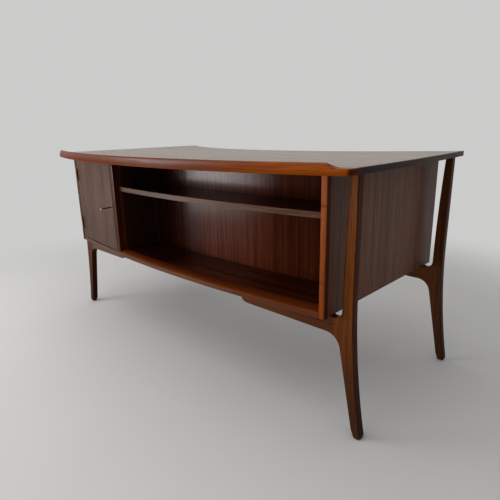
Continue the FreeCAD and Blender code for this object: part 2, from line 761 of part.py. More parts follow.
back_ring = cut("back_ring", back_face, back_rear_face)
bookcase_bounds = board("bookcase_bounds", ("-knee_half", "inner_half"), ("carcass_apex_y", "0"), WALL_Z)
piece("bookcase_back", common("bookcase_back", bookcase_bounds, back_ring))
cabinet_bounds = board("cabinet_bounds", ("-inner_half", "-wall_half"), ("carcass_apex_y", "0"), WALL_Z)
piece("cabinet_back", common("cabinet_back", cabinet_bounds, back_ring))

SHELF_Z = ("shelf_height - shelf_thickness", "shelf_height")
shelf_bounds = board("shelf_bounds", ("shelf_play - knee_half", "inner_half - shelf_play"),
                     ("carcass_apex_y", "0"), SHELF_Z)
shelf_front = disc("shelf_front", "shelf_radius", ("0", "shelf_axis_y"), SHELF_Z)
shelf_rear = disc("shelf_rear", "back_radius + shelf_play", CARCASS_AXIS, SHELF_Z)
shelf_board = common("bookcase_shelf", shelf_bounds, shelf_front)
piece("bookcase_shelf", cut("bookcase_shelf", shelf_board, shelf_rear))


# Cabinet door: flat, set across the chord of the bow between the left stile and the divider
def door_line(x, depth):
    """The Y of a point a given depth behind the door's face."""
    return f"stile_front_y + door_slope * (({x}) + inner_half) + ({depth})"


def door_strip(name, x, depth, z):
    """A piece whose front and rear run parallel to the door's face."""
    corners = [
        (x[0], door_line(x[0], depth[0])),
        (x[1], door_line(x[1], depth[0])),
        (x[1], door_line(x[1], depth[1])),
        (x[0], door_line(x[0], depth[1])),
    ]
    return prism(name, corners, z)


def lock_disc(name, radius, depth):
    """A cylinder along the lock's axis, square to the door, between two depths behind its face."""
    cylinder = doc.addObject("Part::Cylinder", name)
    cylinder.setExpression("Radius", cells(radius))
    cylinder.setExpression("Height", cells(f"({depth[1]}) - ({depth[0]})"))
    base = f"create(<<vector>>; lock_x - ({depth[1]}) * sin(door_turn * 1deg); " \
           f"{door_line('lock_x', '0')} + ({depth[1]}) * cos(door_turn * 1deg); lock_height)"
    turn = "create(<<rotation>>; door_turn; 0; 90)"
    cylinder.setExpression("Placement", cells(f"create(<<placement>>; {base}; {turn})"))
    return cylinder


DOOR_X = ("door_left_x", "door_right_x")
DOOR_Z = ("base_face_top + door_gap", "top_underside - door_gap")
BOLT_X = ("lock_x - lock_case_length / 2 + lock_wall + bolt_clearance", "door_right_x - door_gap")
door_board = door_strip("door_board", DOOR_X, ("0", "door_thickness"), DOOR_Z)
keyhole = lock_disc("keyhole", "key_radius + key_clearance", ("-door_thickness", "2 * door_thickness"))
escutcheon = lock_disc("escutcheon_disc", "escutcheon_radius", ("0", "escutcheon_thickness"))
piece("door_panel", cut("door_panel", door_board, keyhole, escutcheon))
piece("lock_escutcheon", cut("lock_escutcheon", escutcheon, keyhole))

case_x = ("lock_x - lock_case_length / 2", "door_right_x - door_gap / 2")
case_block = door_strip("lock_case_block", case_x, ("door_thickness", "door_thickness + lock_case_depth"),
                        ("lock_height - lock_case_drop", "lock_height + lock_case_rise"))
bolt_way = door_strip("bolt_way", ("lock_x - lock_case_length / 2 + lock_wall", "door_right_x + door_gap"),
                      ("bolt_near - bolt_clearance", "bolt_far + bolt_clearance"),
                      ("bolt_low - bolt_clearance", "bolt_high + bolt_clearance"))
key_cavity = lock_disc("key_cavity", "key_cavity_radius",
                       ("bolt_near - bolt_clearance", "bolt_far + bolt_clearance"))
piece("lock_case", cut("lock_case", case_block, bolt_way, key_cavity, keyhole))
piece("lock_bolt", door_strip("bolt", BOLT_X, ("bolt_near", "bolt_far"), ("bolt_low", "bolt_high")))


def key():
    """A furniture key with a ring bow, lying flat at rest, and a bit inside the lock."""
    tip = "bolt_near + key_bit_width"
    shank = lock_disc("key_shank", "key_radius", ("-key_reach", tip))
    bow_body = doc.addObject("PartDesign::Body", "key_bow")
    bow = bow_body.newObject("PartDesign::Pad", "key_bow_pad")
    eye, rim = "key_bow_eye", "key_bow_radius"
    middle = "key_reach + key_bow_radius - key_radius"
    bow.Profile = ring_sketch(bow_body, middle, rim, eye)
    bow.Midplane = True
    bow.setExpression("Length", cells("key_bow_thickness"))
    bit_body = doc.addObject("PartDesign::Body", "key_bit")
    bit = bit_body.newObject("PartDesign::Pad", "key_bit_pad")
    bit.Profile = outline(bit_body, "XY_Plane", [
        ("-key_bit_reach", "bolt_near"),
        ("0", "bolt_near"),
        ("0", tip),
        ("-key_bit_reach", tip),
    ])
    bit.Midplane = True
    bit.setExpression("Length", cells("key_bit_thickness"))
    for body in (bow_body, bit_body):
        place(body, "lock_x", door_line("lock_x", "0"), "lock_height")
        body.setExpression("Placement.Rotation.Angle", cells("door_turn * 1deg"))
    return fuse("door_key", shank, bow_body, bit_body)


def ring_sketch(body, reach, rim, eye):
    """Two circles about one point in front of the door."""
    sketch = body.newObject("Sketcher::SketchObject", f"{body.Name}_outline")
    support = next(feature for feature in body.Origin.OriginFeatures if feature.Role == "XY_Plane")
    sketch.AttachmentSupport = [(support, "")]
    sketch.MapMode = "FlatFace"
    centre = Vector(0, -number(reach), 0)
    for index, radius in enumerate((rim, eye)):
        sketch.addGeometry(Part.Circle(centre, Vector(0, 0, 1), number(radius)), False)
        size = sketch.addConstraint(Sketcher.Constraint("Radius", index, number(radius)))
        sketch.setExpression(f"Constraints[{size}]", cells(radius))
        sketch.addConstraint(Sketcher.Constraint("PointOnObject", index, CENTRE_POINT, UPRIGHT_AXIS))
        drop = Sketcher.Constraint("DistanceY", index, CENTRE_POINT, ORIGIN, START_POINT, number(reach))
        height = sketch.addConstraint(drop)
        sketch.setExpression(f"Constraints[{height}]", cells(reach))
    return sketch


piece("door_key", key())

mortise_y = (door_line("-wall_half", "bolt_near - door_gap"), door_line("-wall_half", "bolt_far + door_gap"))
mortise = board("bolt_mortise", ("-wall_half - door_gap", "bolt_throw + door_gap - wall_half"), mortise_y,
                ("bolt_low - door_gap", "bolt_high + door_gap"))
strike_seat = board("strike_seat", ("-wall_half", "strike_thickness - wall_half"),
                    (f"{mortise_y[0]} - strike_front_border", f"{mortise_y[1]} + strike_rear_border"),
                    ("bolt_low - strike_border", "bolt_high + strike_border"))
piece("strike_plate", cut("strike_plate", strike_seat, mortise))
divider = stile("divider_front", ("-wall_half", "-knee_half"), "divider_front_y", "base_edging_depth",
                ("base_face_top", "top_underside"))
piece("divider_stile", cut("divider_stile", divider, bottom_edging, base_board, strike_seat, mortise))
left_wall = board("left_wall", ("-wall_half", "-knee_half"),
                  ("divider_front_y + base_edging_depth", "partition_rear_y"), WALL_Z)
piece("left_partition", cut("left_partition", left_wall, strike_seat, mortise, *shelf_pins["left"]))


# Butt hinges: the leaves lie in the gap beside the door, the knuckles stand in front of it
def hinge(name, centre):
    """The frame leaf with two knuckles, the door leaf with one, and their pin."""
    low, high = f"({centre}) - hinge_height / 2", f"({centre}) + hinge_height / 2"
    knuckle = f"hinge_height / {HINGE_KNUCKLES}"
    lower, upper = f"({centre}) - {knuckle} / 2", f"({centre}) + {knuckle} / 2"
    frame_spans = ((low, f"{lower} - knuckle_clearance / 2"), (f"{upper} + knuckle_clearance / 2", high))
    door_spans = ((f"{lower} + knuckle_clearance / 2", f"{upper} - knuckle_clearance / 2"),)
    leaf_y = ("stile_front_y + knuckle_clearance", "stile_front_y + hinge_leaf_width")
    axis = ("hinge_axis_x", "hinge_axis_y")
    pin = disc(f"{name}_pin", "hinge_pin_radius", axis, (low, high))
    bore = disc(f"{name}_bore", "hinge_pin_radius + hinge_running_clearance", axis, (low, high))
    leaves = []
    for side, x, spans, hole in (
        ("frame", ("-inner_half", "hinge_leaf_thickness - inner_half"), frame_spans, pin),
        ("door", ("door_left_x - hinge_leaf_thickness", "door_left_x"), door_spans, bore),
    ):
        parts = [board(f"{name}_{side}_leaf", x, leaf_y, (low, high))]
        for index, span in enumerate(spans):
            parts.append(disc(f"{name}_{side}_knuckle_{index}", "knuckle_radius", axis, span))
            parts.append(board(f"{name}_{side}_tongue_{index}", x, ("hinge_axis_y", leaf_y[0]), span))
        leaves.append(cut(f"{name}_{side}", fuse(f"{name}_{side}", *parts), hole))
    return (*leaves, pin)


hinges = [hinge("upper_hinge", "upper_hinge_z"), hinge("lower_hinge", "lower_hinge_z")]
for label, members in zip(("hinge_frame_leaves", "hinge_door_leaves", "hinge_pins"), zip(*hinges)):
    piece(label, group(label, *members))


# Drawers: curved fronts that follow the hollow rear edge of the top, on wooden runners
front_ring = cut("drawer_front_ring", drawer_rear_face, drawer_face)
runner_end = disc("runner_end", "drawer_back_radius + runner_stop", ("0", "rear_axis_y"), SIDE_Z)
BOX_Y = ("drawer_rear_y", "carcass_rear_y")


def drawer(level, index):
    """Front, box sides and back, bottom and two runners of one right-hand drawer."""
    name = f"{level}_drawer"
    low = f"base_top + drawer_gap + {index} * drawer_pitch"
    high = f"{low} + drawer_front_height"
    box_z = (f"{low} + drawer_box_lift", f"{high} - drawer_box_drop")
    runner_z = (f"{low} + runner_rise", f"{low} + runner_rise + runner_height")
    groove_z = (f"{runner_z[0]} - runner_clearance", f"{runner_z[1]} + runner_clearance")
    inside_x = ("drawer_inner_x + drawer_side_thickness", "drawer_outer_x - drawer_side_thickness")

    bounds = board(f"{name}_front_bounds", ("wall_half + drawer_gap", "inner_half - drawer_gap"),
                   ("0", "carcass_rear_y"), (low, high))
    pull = doc.addObject("Part::Cylinder", f"{name}_pull")
    pull.Placement = Placement(Vector(), Rotation(Vector(1, 0, 0), -QUARTER_TURN_DEG))
    pull.setExpression("Radius", cells("pull_radius"))
    pull.setExpression("Height", cells("carcass_rear_y"))
    place(pull, "(wall_half + inner_half) / 2", "0", f"{high} + pull_radius - pull_depth")
    front = cut(f"{name}_front", common(f"{name}_front", bounds, front_ring), pull)

    sides = []
    runners = []
    for side, side_x, groove_x, runner_x in (
        ("outer", (inside_x[1], "drawer_outer_x"), ("inner_half - groove_reach", "inner_half"),
         ("inner_half - runner_width", "inner_half")),
        ("inner", ("drawer_inner_x", inside_x[0]), ("wall_half", "wall_half + groove_reach"),
         ("wall_half", "wall_half + runner_width")),
    ):
        wall = board(f"{name}_{side}_wall", side_x, BOX_Y, box_z)
        groove = board(f"{name}_{side}_groove", groove_x, BOX_Y, groove_z)
        sides.append(cut(f"{name}_{side}_side", wall, drawer_rear_face, groove))
        strip = board(f"{name}_{side}_strip", runner_x, BOX_Y, runner_z)
        runners.append(cut(f"{name}_{side}_runner", strip, runner_end))
    back = board(f"{name}_back", inside_x, ("drawer_rear_y", "drawer_rear_y + drawer_side_thickness"), box_z)
    floor = board(f"{name}_floor", inside_x, ("drawer_rear_y + drawer_side_thickness", "carcass_rear_y"),
                  (box_z[0], f"{box_z[0]} + drawer_bottom_thickness"))
    bottom = cut(f"{name}_bottom", floor, drawer_rear_face)
    return {"front": front, "box": group(f"{name}_box", *sides, back), "bottom": bottom}, runners


all_runners = []
for index, level in enumerate(DRAWER_LEVELS):
    parts, runners = drawer(level, index)
    all_runners.extend(runners)
    for part, item in parts.items():
        piece(f"right_{level}_drawer_{part}", item)
        piece(f"left_{level}_drawer_{part}", mirrored(f"left_{level}_{part}", item))
right_runners = group("right_runners", *all_runners)
piece("right_runners", right_runners)
piece("left_runners", mirrored("left_runners", right_runners))

doc.recompute()
for item in doc.Objects:
    if {"Invalid", "Error"} & set(item.State):
        raise RuntimeError(f"{item.Name} failed: {item.State}")
os.makedirs("parts", exist_ok=True)
for item in pieces:
    if item.Shape.isNull() or not item.Shape.isValid() or not item.Shape.Solids:
        raise RuntimeError(f"{item.Label} has no valid solid")
    item.Shape.exportStep(os.path.join("parts", f"{item.Label}.step"))
print(f"{len(pieces)} pieces written")
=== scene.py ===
"""Finishes of an executive desk: its woods, brass and small fittings, and a studio stage around it."""

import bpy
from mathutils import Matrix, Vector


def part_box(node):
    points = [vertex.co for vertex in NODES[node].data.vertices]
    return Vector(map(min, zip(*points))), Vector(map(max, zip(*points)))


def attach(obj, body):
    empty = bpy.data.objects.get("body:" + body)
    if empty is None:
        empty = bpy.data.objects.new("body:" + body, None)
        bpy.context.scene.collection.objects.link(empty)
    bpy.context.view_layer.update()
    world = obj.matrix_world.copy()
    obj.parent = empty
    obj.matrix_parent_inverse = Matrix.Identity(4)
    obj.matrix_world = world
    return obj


bl_info = {
    "name": "Executive Desk Finishes",
    "version": (1, 0, 0),
    "blender": (4, 5, 0),
    "location": "View3D > Sidebar > Desk",
    "description": "Woods, brass, small fittings and a studio stage for the packed executive desk",
    "category": "Object",
}

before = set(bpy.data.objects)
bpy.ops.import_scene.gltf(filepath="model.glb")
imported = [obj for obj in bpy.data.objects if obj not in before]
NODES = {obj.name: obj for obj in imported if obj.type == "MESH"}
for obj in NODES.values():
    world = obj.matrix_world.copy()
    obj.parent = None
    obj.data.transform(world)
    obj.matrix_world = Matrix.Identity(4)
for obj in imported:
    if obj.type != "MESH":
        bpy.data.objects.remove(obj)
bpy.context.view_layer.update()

import math
from typing import NamedTuple

import bmesh
import bpy
from mathutils import Matrix, Vector

SIDES = ("left", "right")
ENDS = ("front", "rear")
DRAWERS = [f"{side}_{level}_drawer" for side in SIDES for level in ("low", "middle", "high")]
WHITE = (1, 1, 1, 1)
# For each way that the grain can run: that axis first, then the two across it
GRAIN_AXES = {"X": ("X", "Y", "Z"), "Y": ("Y", "X", "Z"), "Z": ("Z", "X", "Y")}

# Values of the noise: its middle, and between which two each part of the grain comes in
NOISE_MIDDLE = 0.5
PALE_STREAKS = (0.36, 0.64)
DARK_STREAKS = (0.62, 0.38)
DARK_VEINS = (0.35, 1)
DARK_BANDS = (0.4, 0.7)
DARK_FIBRES = (0.35, 0.7)
DULL_FIBRES = (0.2, 0.8)
OPEN_PORES = (0.6, 0.7)
# Between which two values of the noise a metal gets stained, and between which it gets dull
STAINED_METAL = (0.42, 0.68)
DULL_METAL = (0.3, 0.75)
# Cosines of the turn between the true and the eased surface: where the paler edge, wear and a painted
# highlight, begins and where it is full
EDGE_WEAR_AND_HIGHLIGHT = (0.995, 0.8)
EDGE_SAMPLES = 4
# How far rightward a mirrored ray goes, from -1 to 1, where the left tone ends and the right one is reached
MIRROR_SPAN = (-0.3, 0.5)
SCREW_SIDES = 24


def tone(name, description, default):
    """A colour setting."""
    return bpy.props.FloatVectorProperty(
        name=name, description=description, subtype="COLOR", size=3, min=0, max=1, default=default)


def length(name, description, default):
    """A length setting, in metres."""
    return bpy.props.FloatProperty(
        name=name, description=description, subtype="DISTANCE", unit="LENGTH", min=0, precision=4,
        default=default)


def share(name, description, default):
    """A setting from none to all."""
    return bpy.props.FloatProperty(
        name=name, description=description, subtype="FACTOR", min=0, max=1, default=default)


def count(name, description, default):
    """A whole number of things."""
    return bpy.props.IntProperty(name=name, description=description, min=1, default=default)


def turn(name, description, degrees):
    """An angle setting, given in degrees."""
    return bpy.props.FloatProperty(
        name=name, description=description, subtype="ANGLE", unit="ROTATION", default=math.radians(degrees))


def spot(name, description, default):
    """A place in the desk's frame."""
    return bpy.props.FloatVectorProperty(
        name=name, description=description, subtype="TRANSLATION", unit="LENGTH", size=3, default=default)


def watts(name, description, default):
    """A lamp's power."""
    return bpy.props.FloatProperty(name=name, description=description, unit="POWER", min=0, default=default)


def wood_settings(label, dark, middle, light, streak_width, streak_length, wander, figure, roughness, shine):
    """The settings that every wood has, with one wood's own defaults."""
    return {
        "dark": tone(f"{label} dark", "Colour of the darkest veins", dark),
        "middle": tone(f"{label} middle", "Colour of most of the wood", middle),
        "light": tone(f"{label} light", "Colour of the palest streaks", light),
        "streak_width": length(
            f"{label} streak width", "Distance across the grain from streak to streak", streak_width),
        "streak_length": length(
            f"{label} streak length", "How far a streak runs along the grain", streak_length),
        "wander": length(f"{label} wander", "How far the grain strays from a straight line", wander),
        "figure": share(f"{label} figure", "How clearly veins and streaks show", figure),
        "roughness": share(f"{label} roughness", "How matt the lacquer is", roughness),
        "shine": share(f"{label} shine", "How strongly the lacquer mirrors", shine),
    }


class DeskTopWood(bpy.types.PropertyGroup):
    """Veneer of the writing surface"""
    __annotations__ = wood_settings(
        "Top", dark=(0.048, 0.021, 0.01), middle=(0.17, 0.085, 0.034), light=(0.29, 0.165, 0.073),
        streak_width=0.02, streak_length=1.3, wander=0.025, figure=0.95, roughness=0.26, shine=0.62)


class DeskSideWood(bpy.types.PropertyGroup):
    """Veneer of the ends and partitions"""
    __annotations__ = wood_settings(
        "Side", dark=(0.018, 0.006, 0.003), middle=(0.11, 0.035, 0.013), light=(0.19, 0.063, 0.024),
        streak_width=0.007, streak_length=1.6, wander=0.012, figure=0.7, roughness=0.33, shine=0.13)


class DeskDoorWood(bpy.types.PropertyGroup):
    """Veneer of the cabinet door"""
    __annotations__ = wood_settings(
        "Door", dark=(0.018, 0.008, 0.005), middle=(0.066, 0.028, 0.015), light=(0.11, 0.05, 0.029),
        streak_width=0.009, streak_length=0.6, wander=0.02, figure=0.8, roughness=0.4, shine=0.07)


class DeskBackWood(bpy.types.PropertyGroup):
    """Veneer of the bookcase, inside"""
    __annotations__ = wood_settings(
        "Back", dark=(0.006, 0.0009, 0.0005), middle=(0.044, 0.0078, 0.0026), light=(0.11, 0.024, 0.007),
        streak_width=0.003, streak_length=2.5, wander=0.004, figure=0.9, roughness=0.18, shine=0.065)


class DeskEdgeWood(bpy.types.PropertyGroup):
    """Solid wood of the lip, stiles and edging"""
    __annotations__ = wood_settings(
        "Edge", dark=(0.08, 0.014, 0.002), middle=(0.225, 0.045, 0.002), light=(0.32, 0.078, 0.006),
        streak_width=0.007, streak_length=0.6, wander=0.006, figure=0.6, roughness=0.34, shine=0.05)


class DeskLegWood(bpy.types.PropertyGroup):
    """Solid wood of the legs and rails"""
    __annotations__ = wood_settings(
        "Leg", dark=(0.022, 0.006, 0.0015), middle=(0.115, 0.028, 0.003), light=(0.19, 0.054, 0.008),
        streak_width=0.005, streak_length=0.7, wander=0.005, figure=0.75, roughness=0.36, shine=0.045)


class DeskFrontWood(bpy.types.PropertyGroup):
    """Veneer of the drawer fronts"""
    __annotations__ = wood_settings(
        "Drawer front", dark=(0.022, 0.009, 0.005), middle=(0.08, 0.031, 0.016), light=(0.14, 0.06, 0.03),
        streak_width=0.009, streak_length=1.6, wander=0.008, figure=0.75, roughness=0.36, shine=0.15)


class DeskLiningWood(bpy.types.PropertyGroup):
    """Pale wood of the drawer boxes and runners"""
    __annotations__ = wood_settings(
        "Lining", dark=(0.28, 0.16, 0.075), middle=(0.45, 0.29, 0.15), light=(0.56, 0.39, 0.22),
        streak_width=0.012, streak_length=0.5, wander=0.01, figure=0.7, roughness=0.55, shine=0.3)


class DeskGrain(bpy.types.PropertyGroup):
    """What the grain of all the woods has in common"""
    drift_length: length("Drift length", "How far along the grain one stray to the side goes", 0.5)
    drift_width: length("Drift width", "How far across the grain the streaks stray together", 0.14)
    ring_streaks: count("Ring width", "How many streaks wide a growth ring is", 4)
    ring_veins: count("Veins", "How many veins the growth rings are cut into", 9)
    band_streaks: count("Band width", "How many streaks wide the broad dark bands are", 9)
    band_depth: share("Band depth", "How dark the broad bands are where the figure is full", 0.5)
    fibre_width: length("Fibre width", "Width of the fine fibres", 0.0022)
    fibre_length: length("Fibre length", "Length of the fine fibres", 0.09)
    fibre_depth: share("Fibre depth", "How dark the fine fibres are", 0.35)
    fibre_rise: share("Fibre rise", "Height of the fibres, beside the depth of the pores", 0.4)
    pore_width: length("Pore width", "Width of the open pores", 0.0009)
    pore_length: length("Pore length", "Length of the open pores", 0.014)
    pore_depth: share("Pore depth", "How dark the open pores are", 0.45)
    relief: length("Relief", "Depth of the pores under the lacquer", 0.0001)
    relief_strength: share("Relief strength", "How clearly the light shows the relief", 0.5)
    lacquer_smoother: share("Smoother lacquer", "How much less matt the lacquer is between fibres", 0.05)
    lacquer_duller: share("Duller lacquer", "How much more matt the lacquer is on fibres", 0.08)
    knot_patch: length("Knot patches", "Size of the notches in a knot's outline", 0.01)
    knot_core: share("Knot core", "Share of a knot that is darkest", 0.2)
    knot_depth: share("Knot depth", "How dark a knot is", 0.8)
    arris: length("Arris", "Radius to which sharp edges are eased and worn", 0.0012)
    lip_arris: length("Lip arris", "Radius to which the edges of the lip are eased", 0.007)
    # The worn edges are wear and also a painted highlight along the arrises
    wear: share("Wear", "How much lighter the worn edges are", 0.45)
    top_bow: length("Top bow", "How far behind the desk's middle the bow of the top has its centre", 2.0184)
    carcass_bow: length(
        "Carcass bow", "How far behind the desk's middle the bow of the front has its centre", 4.5613)
    drawer_bow: length(
        "Drawer bow", "How far behind the desk's middle the user's hollow has its centre", 1.5052)


class DeskMetals(bpy.types.PropertyGroup):
    """Brass and steel"""
    brass: tone("Brass", "Colour of handled brass", (0.5, 0.33, 0.14))
    tarnish: tone("Tarnish", "Colour of old brass in the corners", (0.1, 0.058, 0.025))
    patina: tone("Patina", "Colour of the hinges where they are darkest", (0.045, 0.026, 0.014))
    brass_roughness: share("Brass roughness", "How dull the brass is", 0.42)
    steel: tone("Steel", "Colour of the screws", (0.5, 0.5, 0.5))
    steel_stain: tone("Steel stain", "Colour of dull spots on the screws", (0.22, 0.2, 0.18))
    steel_roughness: share("Steel roughness", "How dull the steel is", 0.38)
    cloud: length("Tarnish patches", "Size of the patches of tarnish", 0.012)
    smoother: share("Smoother metal", "How much less dull the clean patches are", 0.08)
    duller: share("Duller metal", "How much duller the tarnished patches are", 0.2)
    edge_radius: length("Metal edges", "Radius to which the edges of metal are eased", 0.0003)
    edge_polish: share("Polished edges", "How brightly the edges of metal are rubbed", 0.7)
    scratch_width: length("Scratch width", "Width of the fine scratches", 0.0004)
    scratch_depth: length("Scratch depth", "Depth of the fine scratches", 0.00005)
    scratch_strength: share("Scratch strength", "How clearly the light shows the scratches", 0.3)
    # The key's bright bow and dull stem are rubbing by fingers, and also a painted highlight on the bow and
    # painted shade on the stem
    key_rubbed: tone("Key", "Colour of the key's bow, rubbed by fingers", (0.2, 0.16, 0.12))
    key_bow: length("Key bow", "How much of the key's length is rubbed bright", 0.008)
    key_stem: length("Key stem", "How far from the end of its bow the key is dull", 0.02)
    key_stain: share("Key stain", "How much of the tarnish is left on the key's bow", 0.4)


class DeskFittings(bpy.types.PropertyGroup):
    """Small pieces that are only for the eye"""
    screw_radius: length("Screw radius", "Radius of a hinge screw's head", 0.003)
    screw_slot: length("Screw slot", "Width of the slot in a screw's head", 0.0008)
    screw_depth: length("Slot depth", "Depth of the slot in a screw's head", 0.0007)
    screw_spacing: length("Screw spacing", "Distance from screw to screw on a hinge leaf", 0.018)
    screw_stagger: length("Screw stagger", "How much deeper the outer screws sit than the middle one", 0.003)
    screw_proud: length("Screw proud", "How far a screw's head stands out of its leaf", 0.00008)
    knuckle_reach: length("Knuckle reach", "How far behind the stile's front a knuckle may reach", 0.004)
    tail_length: length("Tail length", "How far a drawer's dovetails reach into its front", 0.012)
    tail_neck: length("Tail neck", "Height of a dovetail where it is narrowest", 0.013)
    tail_flare: length("Tail flare", "How much higher a dovetail is at its wide end", 0.006)
    tail_proud: length("Tail proud", "How far the end grain of a joint stands out", 0.0002)
    tail_count: count("Tails", "Dovetails on each corner of a drawer", 3)


class DeskStage(bpy.types.PropertyGroup):
    """Camera, lights and floor"""
    eye: spot("Eye", "Where the camera stands", (1.2764, -1.1733, 0.8338))
    yaw: turn("Yaw", "How far the camera looks round from the user side", -44.507)
    pitch: turn("Pitch", "How far the camera looks down", 15.639)
    roll: turn("Roll", "How far the camera leans", -1.238)
    lens: bpy.props.FloatProperty(
        name="Lens", description="Focal length in millimetres", subtype="DISTANCE_CAMERA", default=31.613)
    floor: tone("Floor", "Colour of the floor", (0.6, 0.595, 0.585))
    floor_pale: tone("Floor patches", "Colour of the paler patches on the floor", (0.636, 0.6307, 0.6201))
    floor_patch: length("Floor patch size", "Size of the paler patches on the floor", 0.4)
    floor_roughness: share("Floor roughness", "How matt the floor is", 0.6)
    floor_shine: share("Floor shine", "How strongly the floor mirrors", 0.05)
    floor_size: length("Floor size", "Side of the floor", 16)
    backdrop: tone("Backdrop", "Colour behind the floor", (0.6, 0.6, 0.595))
    sweep_start: length(
        "Sweep start", "How far from the desk the floor begins to turn into the backdrop", 1.2)
    sweep_end: length("Sweep end", "How far from the desk the floor has become the backdrop", 2.3)
    sky: share("Sky", "Strength of the even light from all around", 0.4)
    mirror_left: share("Left mirrored", "What glossy wood mirrors on the left", 0.64)
    mirror_right: share("Right mirrored", "What glossy wood mirrors on the right", 0.36)
    aim: spot("Aim", "What the lights point at", (0, -0.1, 0.5))
    window_place: spot("Window light", "Where the low light on the left stands", (-2.1, -2.58, 0.42))
    window_power: watts("Window power", "Power of the low light on the left", 82)
    window_width: length("Window width", "Width of the low light on the left", 1.4)
    window_height: length("Window height", "Height of the low light on the left", 0.76)
    front_place: spot("Front light", "Where the soft light in front stands", (-0.2, -3.2, 1.3))
    front_power: watts("Front power", "Power of the soft light in front", 28)
    front_width: length("Front width", "Width of the soft light in front", 4)
    front_height: length("Front height", "Height of the soft light in front", 2.4)
    overhead_place: spot("Overhead light", "Where the overhead light hangs", (-0.4, -0.85, 2.7))
    overhead_power: watts("Overhead power", "Power of the overhead light", 38)
    overhead_width: length("Overhead width", "Width of the overhead light", 3.2)
    overhead_height: length("Overhead depth", "Depth of the overhead light", 3.2)


class DeskSettings(bpy.types.PropertyGroup):
    """All that can be set on the desk"""
    top: bpy.props.PointerProperty(type=DeskTopWood, name="Top veneer", description="Writing surface")
    side: bpy.props.PointerProperty(type=DeskSideWood, name="Side veneer", description="Ends and partitions")
    door: bpy.props.PointerProperty(type=DeskDoorWood, name="Door veneer", description="Cabinet door")
    back: bpy.props.PointerProperty(
        type=DeskBackWood, name="Back veneer", description="Inside of the bookcase")
    edge: bpy.props.PointerProperty(type=DeskEdgeWood, name="Edge wood", description="Lip, stiles and edging")
    leg: bpy.props.PointerProperty(type=DeskLegWood, name="Leg wood", description="Legs and rails")
    front: bpy.props.PointerProperty(type=DeskFrontWood, name="Drawer veneer", description="Drawer fronts")
    lining: bpy.props.PointerProperty(
        type=DeskLiningWood, name="Lining", description="Drawer boxes and runners")
    grain: bpy.props.PointerProperty(type=DeskGrain, name="Grain", description="Grain of all the woods")
    metals: bpy.props.PointerProperty(type=DeskMetals, name="Metals", description="Brass and steel")
    fittings: bpy.props.PointerProperty(type=DeskFittings, name="Fittings", description="Small pieces")
    stage: bpy.props.PointerProperty(type=DeskStage, name="Stage", description="Camera, lights and floor")


class Cover(NamedTuple):
    """Another wood's tones on faces that look along an axis, from one share of squareness to a full one"""
    wood: bpy.types.PropertyGroup
    axis: str
    begins: float = 0.6
    full: float = 0.85


class Shade(NamedTuple):
    """A stretch of an axis, in metres, over which a wood deepens by a share to its own or another's dark:
    mostly painted shade, where less light falls on the wood
    """
    axis: str
    start: float
    end: float
    share: float
    wood: bpy.types.PropertyGroup = None


class Polish(NamedTuple):
    """A stretch of an axis, in metres, and how strongly the lacquer mirrors at its start and its end"""
    axis: str
    start: float
    end: float
    start_shine: float
    end_shine: float


class Knot(NamedTuple):
    """How high up its piece a knot sits and how far it reaches, in metres"""
    height: float
    reach: float


def add(tree, kind, inputs=None, **settings):
    """A node with its settings and inputs; an input is a value or the socket that feeds it."""
    made = tree.nodes.new(kind)
    for name, value in settings.items():
        setattr(made, name, value)
    for name, value in (inputs or {}).items():
        feed(tree, made.inputs[name], value)
    return made


def feed(tree, socket, value):
    """Links a socket to another one or sets its number or colour."""
    if isinstance(value, bpy.types.NodeSocket):
        tree.links.new(value, socket)
    else:
        socket.default_value = value


def blank_material(name):
    """A new material that has only its shader, then its node tree and that shader."""
    material = bpy.data.materials.new(name)
    material.use_nodes = True
    return material, material.node_tree, material.node_tree.nodes["Principled BSDF"]


def opaque(colour):
    """A colour with full alpha."""
    return (*colour, 1)


def calc(tree, operation, *numbers):
    """One sum on one or two numbers."""
    return add(tree, "ShaderNodeMath", dict(enumerate(numbers)), operation=operation).outputs[0]


def vector_calc(tree, operation, *vectors):
    """The node of one sum on one or two vectors."""
    return add(tree, "ShaderNodeVectorMath", dict(enumerate(vectors)), operation=operation)


def split(tree, vector):
    """The X, Y and Z of a vector, by name."""
    return dict(add(tree, "ShaderNodeSeparateXYZ", {"Vector": vector}).outputs.items())


def remap(tree, value, low, high, start=0.0, end=1.0):
    """The value, moved smoothly from between low and high to between start and end, and kept there."""
    moved = add(tree, "ShaderNodeMapRange",
                {"Value": value, "From Min": low, "From Max": high, "To Min": start, "To Max": end},
                interpolation_type="SMOOTHSTEP")
    return moved.outputs["Result"]


def blend(tree, amount, first, second):
    """Two colours mixed by an amount."""
    mix = add(tree, "ShaderNodeMix", data_type="RGBA")
    for socket, value in zip((mix.inputs[0], mix.inputs[6], mix.inputs[7]), (amount, first, second)):
        feed(tree, socket, value)
    return mix.outputs[2]


def along_grain(tree, axis, wander, grain, bow):
    """Coordinates that run along the grain first, straying a little from side to side.

    With a bow, depth is measured from the centre that the piece bends round."""
    parts = split(tree, add(tree, "ShaderNodeTexCoord").outputs["Object"])
    if bow:
        from_centre = {"X": parts["X"], "Y": calc(tree, "SUBTRACT", parts["Y"], bow)}
        flat = add(tree, "ShaderNodeCombineXYZ", from_centre).outputs[0]
        parts["Y"] = vector_calc(tree, "LENGTH", flat).outputs["Value"]
    ordered = [parts[name] for name in GRAIN_AXES[axis]]
    straight = add(tree, "ShaderNodeCombineXYZ", dict(zip("XYZ", ordered))).outputs[0]
    patches = stretched(tree, straight, grain.drift_length, grain.drift_width)
    drift = add(tree, "ShaderNodeTexNoise", {"Vector": patches, "Scale": 1, "Detail": 2}).outputs["Color"]
    centred = vector_calc(tree, "SUBTRACT", drift, (NOISE_MIDDLE,) * 3).outputs[0]
    swing = vector_calc(tree, "MULTIPLY", centred, (0, 2 * wander, 2 * wander)).outputs[0]
    return vector_calc(tree, "ADD", straight, swing).outputs[0]


